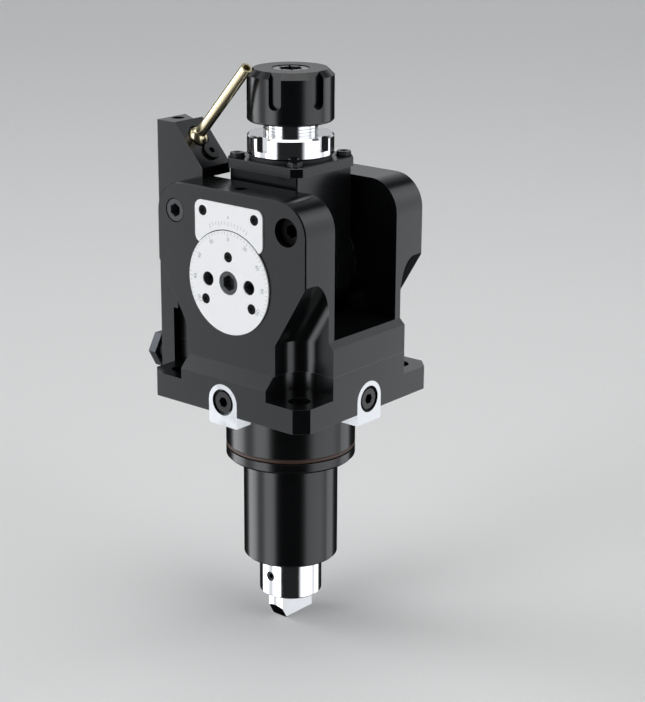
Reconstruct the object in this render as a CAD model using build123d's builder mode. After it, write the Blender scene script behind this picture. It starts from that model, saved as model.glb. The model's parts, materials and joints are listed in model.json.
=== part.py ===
from build123d import *
import math
import os

# Axial driven tool holder with a swivelling head, shown at 0 degrees.
# Millimetres. +Z is the shaft axis, the dial faces -Y, the origin is the
# centre of the turret face, and the coolant bar stands on the -X side.

# Turret interface
flange_side = 100.0
flange_chamfer = 6.0
base_height = 23.4
pocket_floor = 12.0
bolt_pitch_x = 76.0
bolt_pitch_y = 76.0
bolt_hole_radius = 5.5
pocket_radius = 10.7
spigot_radius = 32.5
spigot_length = 33.6
spigot_bevel = 1.2
o_ring_section = 2.6
o_ring_depth_below_face = 27.0
key_width = 18.0
key_thickness = 10.0
key_centre_height = 6.0
key_reach = 5.8
key_counterbore_radius = 6.6
key_screw_thread = 6.0
fork_screw_thread = 6.0
fork_screw_sink = 6.5
fork_screw_hold = 10.1
fork_screw_x = 20.0
fork_screw_inset = 7.7

# Drive cartridge
sleeve_radius = 23.8
sleeve_reach = 87.0
sleeve_flange_radius = 31.0
sleeve_flange_bottom = 10.0
sleeve_flange_thickness = 8.0
sleeve_lip_radius = 18.5
drive_bearing_bore = 12.5
drive_bearing_outer = 21.0
drive_bearing_width = 9.0
upper_bearing_bottom = -1.0
shaft_radius = 15.9
shaft_nose = 20.9
shaft_neck_radius = 9.5
seal_height = 6.0
seal_gap = 1.0
set_screw_rise = 11.2
tang_thickness = 9.0
tang_width = 25.0
tang_length = 13.1
tang_corner_width = 4.3
tang_corner_height = 7.2

# Fork housing
fork_half_depth = 44.2
fork_height = 108.3
fork_corner_radius = 16.0
fork_edge_break = 0.6
plate_edge_break = 0.4
slot_half_width = 23.4
pivot_height = 64.3
heel_gap = 0.4
web_break = 3.0
cove_wall_x = 28.2
cove_knee = 38.6
cove_lean = 0.604
trunnion_radius = 22.0

# Swivelling head
head_half_x = 21.3
head_half_y = 20.3
head_heel_radius = 23.8
head_edge_break = 0.6
cavity_gap = 2.9
cavity_end_gap = 0.5
register_radius = 17.2
boss_radius = 22.0
plate_half_x = 23.7
plate_half_y = 23.0
plate_thickness = 4.6
plate_pilot = 6.5
plate_chamfer = 4.3
plate_screw_x = 18.2
plate_screw_y = 18.1
plate_screw_web = 2.9
spindle_bearing_bore = 8.5
spindle_bearing_outer = 17.5
spindle_bearing_width = 10.0
spindle_bearing_gap = 2.0
spindle_locknut_height = 3.5
transfer_bearing_bore = 6.0
transfer_bearing_outer = 14.0
transfer_bearing_width = 8.0
transfer_shoulder = 4.0

# Bevel gears, three alike, with their cone points at the pivot
gear_teeth = 18
gear_module = 1.25
gear_face = 5.0
gear_backing = 2.75
gear_bore_radius = 5.5
gear_hub_radius = 8.5
mesh_opening = 3.0

# Spindle nose, collet and nut
ring_radius = 21.0
ring_gap = 1.7
ring_height = 9.9
ring_notch_width = 6.6
ring_notch_depth = 2.4
thread_radius = 13.0
thread_in_view = 6.1
thread_in_nut = 18.5
collet_mouth_radius = 10.5
collet_cone_length = 26.0
collet_angle = 8.0
collet_bore_radius = 5.5
collet_slit = 0.9
nut_radius = 21.0
nut_height = 24.9
nut_bevel = 3.0
nut_slot_width = 6.2
nut_slot_height = 17.5
nut_slot_depth = 3.2
nut_slot_angle = -10.5

# Dial and index plate
dial_radius = 26.0
dial_thickness = 1.6
dial_centre_radius = 5.8
dial_centre_sink = 0.6
index_half_width = 21.3
index_screw_inset = 5.0
index_low = 17.0
index_high = 37.9
index_corner = 4.0

# Coolant bar and nozzle
bar_cover = 8.6
bar_front = -31.3
bar_back = -11.6
bar_bottom = 1.0
bar_top = 133.5
bar_head_reach = 18.0
bar_head_side = 5.0
bar_corner_cut = 6.3
ball_radius = 5.2
ball_sink = 1.2
tube_radius = 2.75
tube_bore_radius = 1.75
tube_length = 54.0
hex_plug_across = 17.0
hex_plug_height = 13.7
bar_lower_screw_height = 31.0
bar_upper_screw_heights = (76.0, 88.0)
bar_upper_screw_inset = 4.0

# Clearances
fit = 0.02
running_fit = 0.05
air = 0.3

# Socket cap screws: head radius and key size over the thread size
cap_head_ratio = 0.85
cap_socket_ratio = 0.78

# Sizes that follow from the others
flange_half = flange_side / 2
fork_half_width = flange_half - web_break
pocket_wall_x = bolt_pitch_x / 2 - pocket_radius
pocket_wall_y = bolt_pitch_y / 2 - pocket_radius
slope_rise = flange_half - fork_half_depth
key_face = flange_half
slot_floor = pivot_height - head_heel_radius - heel_gap
pivot = Vector(0, 0, pivot_height)
lower_bearing_bottom = seal_height + seal_gap - sleeve_reach
shaft_reach = sleeve_reach + shaft_nose
pitch_radius = gear_module * gear_teeth / 2
gear_back = pitch_radius + gear_backing
head_cavity_radius = gear_back + cavity_gap
head_cavity_half = gear_back + cavity_end_gap
transfer_bearing_start = gear_back + transfer_shoulder
gear_seat_top = pivot_height + gear_back + mesh_opening + 0.4
spindle_bearing_bottom = gear_seat_top + 0.1 + spindle_locknut_height
pilot_bottom = spindle_bearing_bottom + 2 * spindle_bearing_width + spindle_bearing_gap
head_top = pilot_bottom + plate_pilot
plate_top = head_top + plate_thickness
ring_bottom = plate_top + ring_gap
ring_top = ring_bottom + ring_height
nut_bottom = ring_top + thread_in_view
nose_top = nut_bottom + thread_in_nut
nut_top = nut_bottom + nut_height

os.makedirs("parts", exist_ok=True)


def save(node, label):
    """Name a finished piece and write its file."""
    node.part.label = label
    export_step(node.part, "parts/" + label + ".step")


def facing(direction, *points):
    """One plane for each point, looking along a direction."""
    return [Plane(origin=point, z_dir=direction) for point in points]


def cut_bores(seats, radius, depth, rise=0.0):
    """Bore down from each seat, and up through what stands above it."""
    with BuildSketch(*[seat.offset(rise) for seat in seats]) as mouths:
        Circle(radius)
    extrude(mouths.sketch, amount=-(depth + rise), mode=Mode.SUBTRACT)


def cap_screws(thread, grip, seats):
    """Socket cap screws whose heads rest on the seats."""
    with BuildPart() as group:
        with BuildSketch(*seats):
            Circle(thread / 2)
        extrude(amount=-grip)
        with BuildSketch(*seats):
            Circle(thread * cap_head_ratio)
        extrude(amount=thread)
        with BuildSketch(*[seat.offset(thread) for seat in seats]):
            RegularPolygon(thread * cap_socket_ratio / 2, 6, major_radius=False)
        extrude(amount=-thread / 2, mode=Mode.SUBTRACT)
    return group


def disc_screws(head_radius, head_height, socket, thread, grip, seats):
    """Low-headed socket screws, for thin plates."""
    with BuildPart() as group:
        with BuildSketch(*seats):
            Circle(thread / 2)
        extrude(amount=-grip)
        with BuildSketch(*seats):
            Circle(head_radius)
        extrude(amount=head_height)
        with BuildSketch(*[seat.offset(head_height) for seat in seats]):
            RegularPolygon(socket / 2, 6, major_radius=False)
        extrude(amount=-head_height * 0.7, mode=Mode.SUBTRACT)
    return group


def ring_solid(plane, outer, inner, height):
    """A plain ring standing on a plane."""
    with BuildPart() as ring:
        with BuildSketch(plane):
            Circle(outer)
            Circle(inner, mode=Mode.SUBTRACT)
        extrude(amount=height)
    return ring


def race_rings(planes, outer, inner, width, ball, pitch):
    """Bearing rings with the groove that the balls run in."""
    with BuildPart() as rings:
        with BuildSketch(*planes):
            Circle(outer)
            Circle(inner, mode=Mode.SUBTRACT)
        extrude(amount=width)
        for plane in planes:
            with BuildSketch(Plane(plane.origin, x_dir=plane.x_dir, z_dir=-plane.y_dir)):
                with Locations((pitch, width / 2)):
                    Circle(ball + running_fit)
            revolve(axis=Axis(plane.origin, plane.z_dir), mode=Mode.SUBTRACT)
    return rings


def balls(planes, width, ball, pitch, count):
    """The ball sets of a row of bearings."""
    with BuildPart() as group:
        for plane in planes:
            with Locations(plane.offset(width / 2)):
                with PolarLocations(pitch, count):
                    Sphere(ball)
    return group


def bevel_gear(plane, bore, back, hub_length, shift=0.0, first_space=0.5):
    """A straight bevel gear whose cone point lies shift behind the plane.

    The teeth face the plane's origin, and the hub points along its normal.
    The first tooth space is turned from the x direction by a share of a pitch.
    """
    cone_length = pitch_radius * math.sqrt(2)
    inner_length = cone_length - gear_face
    rise = 0.88 * gear_module
    root = 1.16 * gear_module
    diagonal = math.sqrt(0.5)

    def blank_point(length, height):
        return (diagonal * (length + height), diagonal * (length - height) + shift)

    toe_share = inner_length / cone_length
    with BuildPart() as gear:
        with BuildSketch(Plane(plane.origin, x_dir=plane.x_dir, z_dir=-plane.y_dir)):
            with BuildLine():
                Polyline(
                    (bore, blank_point(inner_length, -root * toe_share)[1]),
                    blank_point(inner_length, -root * toe_share),
                    blank_point(inner_length, rise * toe_share),
                    blank_point(cone_length, rise),
                    blank_point(cone_length, -root * 1.6),
                    (gear_hub_radius, back + shift),
                    (gear_hub_radius, back + shift + hub_length),
                    (bore, back + shift + hub_length),
                    close=True,
                )
            make_face()
        revolve(axis=Axis(plane.origin, plane.z_dir))
        apex = plane.offset(shift)
        along = (apex.x_dir + apex.z_dir) * diagonal
        across = (apex.x_dir - apex.z_dir) * diagonal
        pitch_arc = math.pi * gear_module
        with BuildPart(mode=Mode.PRIVATE) as space:
            for length in (inner_length * 0.9, cone_length * 1.12):
                share = length / cone_length
                half_gap = 0.29 * pitch_arc * share
                with BuildSketch(Plane(apex.origin + along * length, x_dir=across, z_dir=along)):
                    with BuildLine():
                        Polyline(
                            (-root * share, -half_gap * 0.55),
                            (rise * 1.5 * share, -half_gap * 1.55),
                            (rise * 1.5 * share, half_gap * 1.55),
                            (-root * share, half_gap * 0.55),
                            close=True,
                        )
                    make_face()
            loft()
        tooth_step = 360 / gear_teeth
        for tooth in range(gear_teeth):
            turn = (tooth + first_space) * tooth_step
            add(space.part.rotate(Axis(plane.origin, plane.z_dir), turn), mode=Mode.SUBTRACT)
    return gear


# Base block: square flange, four bolt pockets, four key slots and the spigot
key_planes = [
    Plane(
        origin=(key_face * math.sin(turn), -key_face * math.cos(turn), 0),
        x_dir=(math.cos(turn), math.sin(turn), 0),
        z_dir=(math.sin(turn), -math.cos(turn), 0),
    )
    for turn in (0, math.pi / 2, math.pi, 3 * math.pi / 2)
]
key_seats = [
    Plane(plane.origin + Vector(0, 0, key_centre_height), x_dir=plane.x_dir, z_dir=plane.z_dir)
    for plane in key_planes
]
fork_screw_y = fork_half_depth - fork_screw_inset
fork_screw_points = [
    (x, y, fork_screw_sink) for x in (-fork_screw_x, fork_screw_x) for y in (-fork_screw_y, fork_screw_y)
]
fork_screw_seats = facing((0, 0, -1), *fork_screw_points)
sleeve_screw_radius = (sleeve_radius + sleeve_flange_radius) / 2
sleeve_screw_level = sleeve_flange_bottom + sleeve_flange_thickness - 4.4
sleeve_screw_seats = facing(
    (0, 0, 1),
    *[
        (sleeve_screw_radius * math.cos(turn), sleeve_screw_radius * math.sin(turn), sleeve_screw_level)
        for turn in [math.radians(15 + 60 * step) for step in range(6)]
    ],
)


def bolt_pockets(wall_x, wall_y, level, height, lean):
    """Cut the four corner pockets upward from a level."""
    for side_x in (-1, 1):
        for side_y in (-1, 1):
            with BuildSketch(Plane.XY.offset(level)) as pocket:
                with Locations((side_x * (wall_x + flange_side / 2), side_y * (wall_y + flange_side / 2))):
                    RectangleRounded(flange_side, flange_side, pocket_radius)
            extrude(pocket.sketch, amount=height, dir=(side_x * lean, 0, 1), mode=Mode.SUBTRACT)


with BuildPart() as base_block:
    with BuildSketch():
        Rectangle(flange_side, flange_side)
        chamfer(vertices(), length=flange_chamfer)
    extrude(amount=base_height)
    long_edges = edges().filter_by(Axis.X).group_by(Axis.Z)[-1]
    chamfer(long_edges, length=slope_rise)
    bolt_pockets(pocket_wall_x, pocket_wall_y, pocket_floor, base_height, 0)
    with BuildSketch():
        Circle(spigot_radius)
    extrude(amount=-spigot_length)
    chamfer(edges().filter_by(GeomType.CIRCLE).group_by(Axis.Z)[0], length=spigot_bevel)
    with BuildSketch(Plane.XY.offset(-o_ring_depth_below_face - o_ring_section / 2)):
        Circle(spigot_radius + 1)
        Circle(spigot_radius - o_ring_section, mode=Mode.SUBTRACT)
    extrude(amount=o_ring_section, mode=Mode.SUBTRACT)
    with BuildSketch(Plane.XY.offset(-spigot_length)):
        Circle(sleeve_radius + fit)
    extrude(amount=spigot_length + base_height, mode=Mode.SUBTRACT)
    with BuildSketch(Plane.XY.offset(sleeve_flange_bottom)):
        Circle(sleeve_flange_radius + fit)
    extrude(amount=base_height, mode=Mode.SUBTRACT)
    with BuildSketch(*key_planes):
        with Locations((0, key_centre_height)):
            Circle(key_width / 2 + fit)
        with Locations((0, key_centre_height / 2 - 1)):
            Rectangle(key_width + 2 * fit, key_centre_height + 2)
    extrude(amount=-key_thickness, mode=Mode.SUBTRACT)
    cut_bores([seat.offset(-key_thickness) for seat in key_seats], key_screw_thread / 2 + fit, 9)
    with BuildSketch():
        with GridLocations(bolt_pitch_x, bolt_pitch_y, 2, 2):
            Circle(bolt_hole_radius)
    extrude(amount=pocket_floor, mode=Mode.SUBTRACT)
    cut_bores(fork_screw_seats, fork_screw_thread / 2 + air, base_height)
    cut_bores(fork_screw_seats, fork_screw_thread * cap_head_ratio + air, 0, rise=fork_screw_sink)
    cut_bores(sleeve_screw_seats, 2 + fit, 14)
save(base_block, "base_block")

with BuildPart() as spigot_o_ring:
    with BuildSketch(Plane.XZ):
        with Locations((spigot_radius - o_ring_section / 2, -o_ring_depth_below_face)):
            Circle(o_ring_section / 2 - fit)
    revolve(axis=Axis.Z)
save(spigot_o_ring, "spigot_o_ring")

with BuildPart() as location_keys:
    with BuildSketch(*key_planes):
        with Locations((0, key_centre_height)):
            Circle(key_width / 2)
        with Locations((0, (key_centre_height - key_reach) / 2)):
            Rectangle(key_width, key_centre_height + key_reach)
    extrude(amount=-key_thickness)
    cut_bores(key_seats, key_counterbore_radius, key_screw_thread + 0.4)
    cut_bores(key_seats, key_screw_thread / 2 + 0.3, key_thickness)
save(location_keys, "location_keys")

key_screw_seats = [seat.offset(-key_screw_thread - 0.4) for seat in key_seats]
key_screws = cap_screws(key_screw_thread, 10.5, key_screw_seats)
save(key_screws, "key_screws")

# Drive cartridge: sleeve, bearings, spacers, seal and shaft
sleeve_flange_top = sleeve_flange_bottom + sleeve_flange_thickness
upper_bearing_top = upper_bearing_bottom + drive_bearing_width
lower_bearing_top = lower_bearing_bottom + drive_bearing_width
with BuildPart() as shank_sleeve:
    with BuildSketch(Plane.XY.offset(-sleeve_reach)):
        Circle(sleeve_radius)
    extrude(amount=sleeve_reach + sleeve_flange_bottom)
    with BuildSketch(Plane.XY.offset(sleeve_flange_bottom)):
        Circle(sleeve_flange_radius)
    extrude(amount=sleeve_flange_thickness)
    chamfer(edges().filter_by(GeomType.CIRCLE).group_by(Axis.Z)[0], length=0.8)
    with BuildSketch(Plane.XY.offset(-sleeve_reach)):
        Circle(drive_bearing_outer + fit)
    extrude(amount=sleeve_reach + upper_bearing_top, mode=Mode.SUBTRACT)
    with BuildSketch(Plane.XY.offset(upper_bearing_top)):
        Circle(sleeve_lip_radius)
    extrude(amount=sleeve_flange_top, mode=Mode.SUBTRACT)
    cut_bores(sleeve_screw_seats, 2.3, sleeve_flange_thickness, rise=0)
    cut_bores(sleeve_screw_seats, 3.5, 0, rise=5)
save(shank_sleeve, "shank_sleeve")

sleeve_screws = cap_screws(4.0, 12.0, sleeve_screw_seats)
save(sleeve_screws, "sleeve_screws")

drive_ball = 2.4
drive_pitch = (drive_bearing_bore + drive_bearing_outer) / 2
drive_bearing_planes = [
    Plane.XY.offset(lower_bearing_bottom),
    Plane.XY.offset(upper_bearing_bottom),
]
drive_outer_rings = race_rings(
    drive_bearing_planes,
    drive_bearing_outer,
    drive_pitch + 1.6,
    drive_bearing_width,
    drive_ball,
    drive_pitch,
)
save(drive_outer_rings, "drive_bearing_outer_rings")
drive_inner_rings = race_rings(
    drive_bearing_planes,
    drive_pitch - 1.6,
    drive_bearing_bore + fit,
    drive_bearing_width,
    drive_ball,
    drive_pitch,
)
save(drive_inner_rings, "drive_bearing_inner_rings")
drive_balls = balls(drive_bearing_planes, drive_bearing_width, drive_ball, drive_pitch, 11)
save(drive_balls, "drive_bearing_balls")

spacer_length = upper_bearing_bottom - lower_bearing_top
outer_spacer = ring_solid(
    Plane.XY.offset(lower_bearing_top), drive_bearing_outer, drive_bearing_outer - 1.7, spacer_length
)
save(outer_spacer, "outer_bearing_spacer")
inner_spacer = ring_solid(
    Plane.XY.offset(lower_bearing_top), drive_bearing_bore + 2.0, drive_bearing_bore + fit, spacer_length
)
save(inner_spacer, "inner_bearing_spacer")

shaft_seal = ring_solid(
    Plane.XY.offset(-sleeve_reach), drive_bearing_outer, shaft_radius + running_fit, seal_height
)
save(shaft_seal, "shaft_seal")

locknut_height = 6.0
locknut_top = upper_bearing_top + locknut_height
gear_end = pivot_height - gear_back
set_screw_height = set_screw_rise - shaft_reach
with BuildPart() as drive_shaft:
    with BuildSketch(Plane.XY.offset(-shaft_reach)):
        Circle(shaft_radius)
    extrude(amount=shaft_reach + lower_bearing_bottom)
    chamfer(edges().filter_by(GeomType.CIRCLE).group_by(Axis.Z)[0], length=0.8)
    with BuildSketch(Plane.XY.offset(lower_bearing_bottom)):
        Circle(drive_bearing_bore)
    extrude(amount=locknut_top - lower_bearing_bottom)
    with BuildSketch(Plane.XY.offset(locknut_top)):
        Circle(shaft_neck_radius)
    extrude(amount=slot_floor - locknut_top)
    with BuildSketch(Plane.XY.offset(slot_floor)):
        Circle(gear_bore_radius)
    extrude(amount=gear_end + 2.5 - slot_floor)
    with BuildSketch(Plane.XY.offset(-shaft_reach)):
        Circle(tang_width / 2)
        Rectangle(tang_thickness, tang_width + 1, mode=Mode.INTERSECT)
    extrude(amount=-tang_length)
    with BuildSketch(Plane.YZ.offset(-tang_thickness)):
        with BuildLine():
            Polyline(
                (-tang_width, -shaft_reach - tang_length),
                (tang_corner_width - tang_width / 2, -shaft_reach - tang_length),
                (-tang_width / 2, tang_corner_height - shaft_reach - tang_length),
                (-tang_width, tang_corner_height - shaft_reach - tang_length),
                close=True,
            )
        make_face()
    extrude(amount=2 * tang_thickness, mode=Mode.SUBTRACT)
    chamfer(edges().filter_by(Axis.Y).group_by(Axis.Z)[0], length=0.5)
    cut_bores(facing((0, -1, 0), (0, -shaft_radius, set_screw_height)), 2.5 + fit, 7, rise=1)
save(drive_shaft, "drive_shaft")

with BuildPart() as shaft_set_screw:
    set_screw_seat = facing((0, -1, 0), (0, -shaft_radius + 0.6, set_screw_height))
    with BuildSketch(*set_screw_seat):
        Circle(2.5)
        RegularPolygon(1.25, 6, major_radius=False, mode=Mode.SUBTRACT)
    extrude(amount=-2.5)
    with BuildSketch(*[seat.offset(-2.5) for seat in set_screw_seat]):
        Circle(2.5)
    extrude(amount=-3.5)
save(shaft_set_screw, "shaft_set_screw")

with BuildPart() as shaft_locknut:
    with BuildSketch(Plane.XY.offset(upper_bearing_top)):
        Circle(sleeve_lip_radius - 1.5)
        Circle(drive_bearing_bore + fit, mode=Mode.SUBTRACT)
        with PolarLocations(sleeve_lip_radius - 1.5, 4):
            Rectangle(3, 4, mode=Mode.SUBTRACT)
    extrude(amount=locknut_height)
save(shaft_locknut, "shaft_locknut")

drive_gear_plane = Plane(origin=pivot, x_dir=(0, 1, 0), z_dir=(0, 0, -1))
drive_gear = bevel_gear(
    drive_gear_plane, gear_bore_radius + fit, gear_back, pivot_height - gear_back - slot_floor - fit
)
save(drive_gear, "drive_gear")

# Fork housing: two cheeks on a web, with coves above the bolt pockets
plug_x = fork_half_width - 11.8
plug_height = fork_height - 14.1
plug_points = [(-plug_x, -fork_half_depth, plug_height), (plug_x, -fork_half_depth, plug_height)]
index_top = pivot_height + index_high
index_screw_x = index_half_width - index_screw_inset
index_screw_height = index_top - index_screw_inset
index_screw_points = [(x, -fork_half_depth, index_screw_height) for x in (-index_screw_x, index_screw_x)]
eye_hole_point = (0, 8.4 - fork_half_depth, fork_height)
bar_mid = (bar_front + bar_back) / 2
bar_lower_thread_seat = facing((-1, 0, 0), (-flange_half, bar_mid + 1.95, bar_lower_screw_height))
bar_upper_thread_seats = facing(
    (-1, 0, 0), *[(-fork_half_width, bar_front + bar_upper_screw_inset, z) for z in bar_upper_screw_heights]
)

with BuildPart() as fork_housing:
    with BuildSketch(Plane.XZ.offset(-fork_half_depth)):
        with BuildLine():
            Polyline(
                (-fork_half_width, slot_floor),
                (-flange_half, slot_floor - web_break),
                (-flange_half, base_height),
                (flange_half, base_height),
                (flange_half, slot_floor - web_break),
                (fork_half_width, slot_floor),
                (fork_half_width, fork_height),
                (-fork_half_width, fork_height),
                close=True,
            )
        make_face()
        fillet(vertices().group_by(Axis.Y)[-1], fork_corner_radius)
    extrude(amount=2 * fork_half_depth)
    for outline in (edges().group_by(Axis.Y)[0], edges().group_by(Axis.Y)[-1]):
        chamfer(outline.sort_by(Axis.Z)[1:], length=fork_edge_break)
    with BuildSketch(Plane.YZ.offset(-flange_half)):
        with Locations((0, slot_floor + fork_height / 2)):
            Rectangle(2 * slot_half_width, fork_height)
    extrude(amount=flange_side, mode=Mode.SUBTRACT)
    with BuildSketch(Plane.XZ.offset(-fork_half_depth)):
        with Locations((0, pivot_height)):
            Circle(trunnion_radius)
    extrude(amount=2 * fork_half_depth, mode=Mode.SUBTRACT)
    bolt_pockets(cove_wall_x, pocket_wall_y, base_height, cove_knee - base_height, 0)
    bolt_pockets(cove_wall_x, pocket_wall_y, cove_knee, fork_height, cove_lean)
    with BuildSketch(Plane.XY.offset(sleeve_flange_top)):
        Circle(sleeve_flange_radius)
    extrude(amount=base_height - sleeve_flange_top)
    with BuildSketch(Plane.XY.offset(sleeve_flange_top)):
        Circle(sleeve_lip_radius)
    extrude(amount=fork_height, mode=Mode.SUBTRACT)
    fork_thread_seats = facing((0, 0, -1), *[(x, y, base_height) for x, y, z in fork_screw_points])
    cut_bores(fork_thread_seats, fork_screw_thread / 2 + fit, fork_screw_hold + 2)
    cut_bores(facing((0, -1, 0), plug_points[0]), 6 + fit, 14)
    cut_bores(facing((0, -1, 0), plug_points[1]), 6.9, 14)
    cut_bores(facing((0, -1, 0), *index_screw_points), 1.5 + fit, 9)
    cut_bores(facing((0, 0, 1), eye_hole_point), 3.4, 14)
    cut_bores(bar_lower_thread_seat, 2.5 + fit, 12)
    cut_bores(bar_upper_thread_seats, 2 + fit, 10)
save(fork_housing, "fork_housing")

fork_screw_grip = base_height - fork_screw_sink + fork_screw_hold
fork_screws = cap_screws(fork_screw_thread, fork_screw_grip, fork_screw_seats)
save(fork_screws, "fork_screws")


def socket_plug(seat, radius, length, socket):
    """A headless plug with a hexagon socket."""
    with BuildPart() as plug:
        with BuildSketch(seat):
            Circle(radius)
        extrude(amount=-length)
        chamfer(edges().filter_by(GeomType.CIRCLE).sort_by(Axis(seat.origin, seat.z_dir))[-1], 0.6)
        with BuildSketch(seat):
            RegularPolygon(socket / 2, 6, major_radius=False)
        extrude(amount=-length * 0.6, mode=Mode.SUBTRACT)
    return plug


gallery_plug = socket_plug(facing((0, -1, 0), plug_points[0])[0].offset(-0.2), 6.0, 9.0, 6.0)
save(gallery_plug, "gallery_plug")
sunk_plug = socket_plug(facing((0, -1, 0), plug_points[1])[0].offset(-4.0), 6.88, 8.0, 6.0)
save(sunk_plug, "sunk_port_plug")

with BuildPart() as index_plate:
    with BuildSketch(Plane.XZ.offset(fork_half_depth)):
        index_bottom = pivot_height + index_low
        with Locations((0, (index_top + index_bottom) / 2)):
            RectangleRounded(2 * index_half_width, index_top - index_bottom, index_corner)
        with Locations((0, pivot_height)):
            Circle(dial_radius + 0.6, mode=Mode.SUBTRACT)
    extrude(amount=dial_thickness)
    cut_bores(facing((0, -1, 0), *index_screw_points), 1.8, 1, rise=3)
save(index_plate, "index_plate")

index_screw_seats = facing(
    (0, -1, 0), *[(x, y - dial_thickness, z) for x, y, z in index_screw_points]
)
index_screws = disc_screws(2.6, 1.2, 2.0, 3.0, 8.0, index_screw_seats)
save(index_screws, "index_plate_screws")

# Coolant bar: drilled manifold with a slanted head that carries the nozzle
bar_outer = -flange_half - bar_cover
slant_low = Vector(-fork_half_width + bar_head_reach, 0, fork_height + bar_head_side)
slant_high = Vector(-fork_half_width, 0, bar_top)
slant_along = (slant_low - slant_high).normalized()
slant_normal = Vector(-slant_along.Z, 0, slant_along.X)
ball_seat = slant_high + slant_along * 9.9 + Vector(0, bar_mid - 0.1, 0)
ball_centre = ball_seat - slant_normal * ball_sink
clamp_head_radius = 4.3
clamp_seat_point = slant_high + slant_along * 19.3 + Vector(0, bar_mid + 1.6, 0)
slant_plane = Plane(origin=ball_seat, x_dir=(0, 1, 0), z_dir=slant_normal)
clamp_seat = Plane(origin=clamp_seat_point, x_dir=(0, 1, 0), z_dir=slant_normal)
socket_radius = ball_radius + 0.8
lower_screw_seat = [seat.offset(2.6) for seat in bar_lower_thread_seat]
upper_screw_seats = [seat.offset(6.6) for seat in bar_upper_thread_seats]
hex_plug_seat = Plane(origin=(bar_outer, bar_mid, hex_plug_height), x_dir=(0, 1, 0), z_dir=(-1, 0, 0))
inlet_point = (bar_outer + 4.6, bar_mid, bar_top)

with BuildPart() as coolant_bar:
    with BuildSketch(Plane.XZ.offset(-bar_front)):
        with BuildLine():
            Polyline(
                (bar_outer, bar_bottom),
                (-flange_half, bar_bottom),
                (-flange_half, slot_floor),
                (-fork_half_width, slot_floor),
                (-fork_half_width, fork_height - fork_corner_radius),
                (-fork_half_width + bar_head_reach, fork_height - fork_corner_radius),
                (slant_low.X, slant_low.Z),
                (slant_high.X, slant_high.Z),
                (bar_outer, bar_top),
                close=True,
            )
        make_face()
        with Locations((0, fork_height / 2)):
            RectangleRounded(2 * fork_half_width, fork_height, fork_corner_radius, mode=Mode.SUBTRACT)
    extrude(amount=bar_front - bar_back)
    with BuildSketch(Plane.XY.offset(fork_height)):
        with Locations((-fork_half_width, -slot_half_width)):
            Rectangle(bar_head_reach + 1, slot_half_width, align=Align.MIN)
    extrude(amount=-fork_corner_radius, mode=Mode.SUBTRACT)
    with BuildSketch(Plane.XY.offset(bar_top)):
        with BuildLine():
            Polyline(
                (bar_outer, bar_back),
                (-fork_half_width, bar_back - bar_corner_cut),
                (-fork_half_width, bar_back),
                close=True,
            )
        make_face()
    extrude(amount=-2.5, mode=Mode.SUBTRACT)
    with BuildSketch(slant_plane):
        Circle(socket_radius + fit)
    extrude(amount=-7, mode=Mode.SUBTRACT)
    cut_bores([clamp_seat], clamp_head_radius + 0.7, ball_sink)
    cut_bores([clamp_seat], 2 + fit, ball_sink + 8.2)
    cut_bores(facing((0, 0, 1), inlet_point), 3.1, 12)
    cut_bores([hex_plug_seat], 5 + fit, 7)
    cut_bores(lower_screw_seat, 2.8, 12)
    cut_bores(lower_screw_seat, 4.6, 0, rise=bar_cover)
    cut_bores(upper_screw_seats, 2.3, 12)
    cut_bores(upper_screw_seats, 3.7, 0, rise=bar_cover)
save(coolant_bar, "coolant_bar")

with BuildPart() as bar_screws:
    for thread, grip, seats in ((5.0, 14.0, lower_screw_seat), (4.0, 15.6, upper_screw_seats)):
        add(cap_screws(thread, grip, seats).part)
save(bar_screws, "coolant_bar_screws")

with BuildPart() as coolant_hex_plug:
    with BuildSketch(hex_plug_seat):
        Circle(5.0)
    extrude(amount=-6.5)
    with BuildSketch(hex_plug_seat):
        Circle(6.6)
    extrude(amount=5.2)
    with BuildSketch(hex_plug_seat.offset(5.2)):
        RegularPolygon(hex_plug_across / 2, 6, major_radius=False)
    extrude(amount=4.6)
save(coolant_hex_plug, "coolant_hex_plug")

with BuildPart() as nozzle_socket:
    with BuildSketch(slant_plane.offset(-ball_sink)):
        Circle(socket_radius)
    extrude(amount=ball_sink - 7)
    with Locations(Plane(origin=ball_centre, z_dir=slant_normal)):
        Sphere(ball_radius + running_fit, mode=Mode.SUBTRACT)
    with BuildSketch(slant_plane.offset(-7)):
        Circle(2.5)
    extrude(amount=4, mode=Mode.SUBTRACT)
save(nozzle_socket, "nozzle_socket")

tube_aim = (Vector(-3.8, -nut_radius - 6.0, nut_top + 2.4) - ball_centre).normalized()
tube_plane = Plane(origin=ball_centre, z_dir=tube_aim)
with BuildPart() as nozzle_ball:
    with Locations(Plane(origin=ball_centre, z_dir=tube_aim)):
        Sphere(ball_radius)
    with BuildSketch(tube_plane):
        Circle(tube_radius + fit)
    extrude(amount=ball_radius, mode=Mode.SUBTRACT)
    with BuildSketch(tube_plane):
        Circle(tube_bore_radius)
    extrude(amount=-ball_radius, mode=Mode.SUBTRACT)
save(nozzle_ball, "nozzle_ball")

nozzle_tube = ring_solid(tube_plane, tube_radius, tube_bore_radius, tube_length)
save(nozzle_tube, "nozzle_tube")

nozzle_clamp_screw = disc_screws(clamp_head_radius, 2.6, 3.0, 4.0, 8.0, [clamp_seat.offset(-ball_sink)])
save(nozzle_clamp_screw, "nozzle_clamp_screw")

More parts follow.
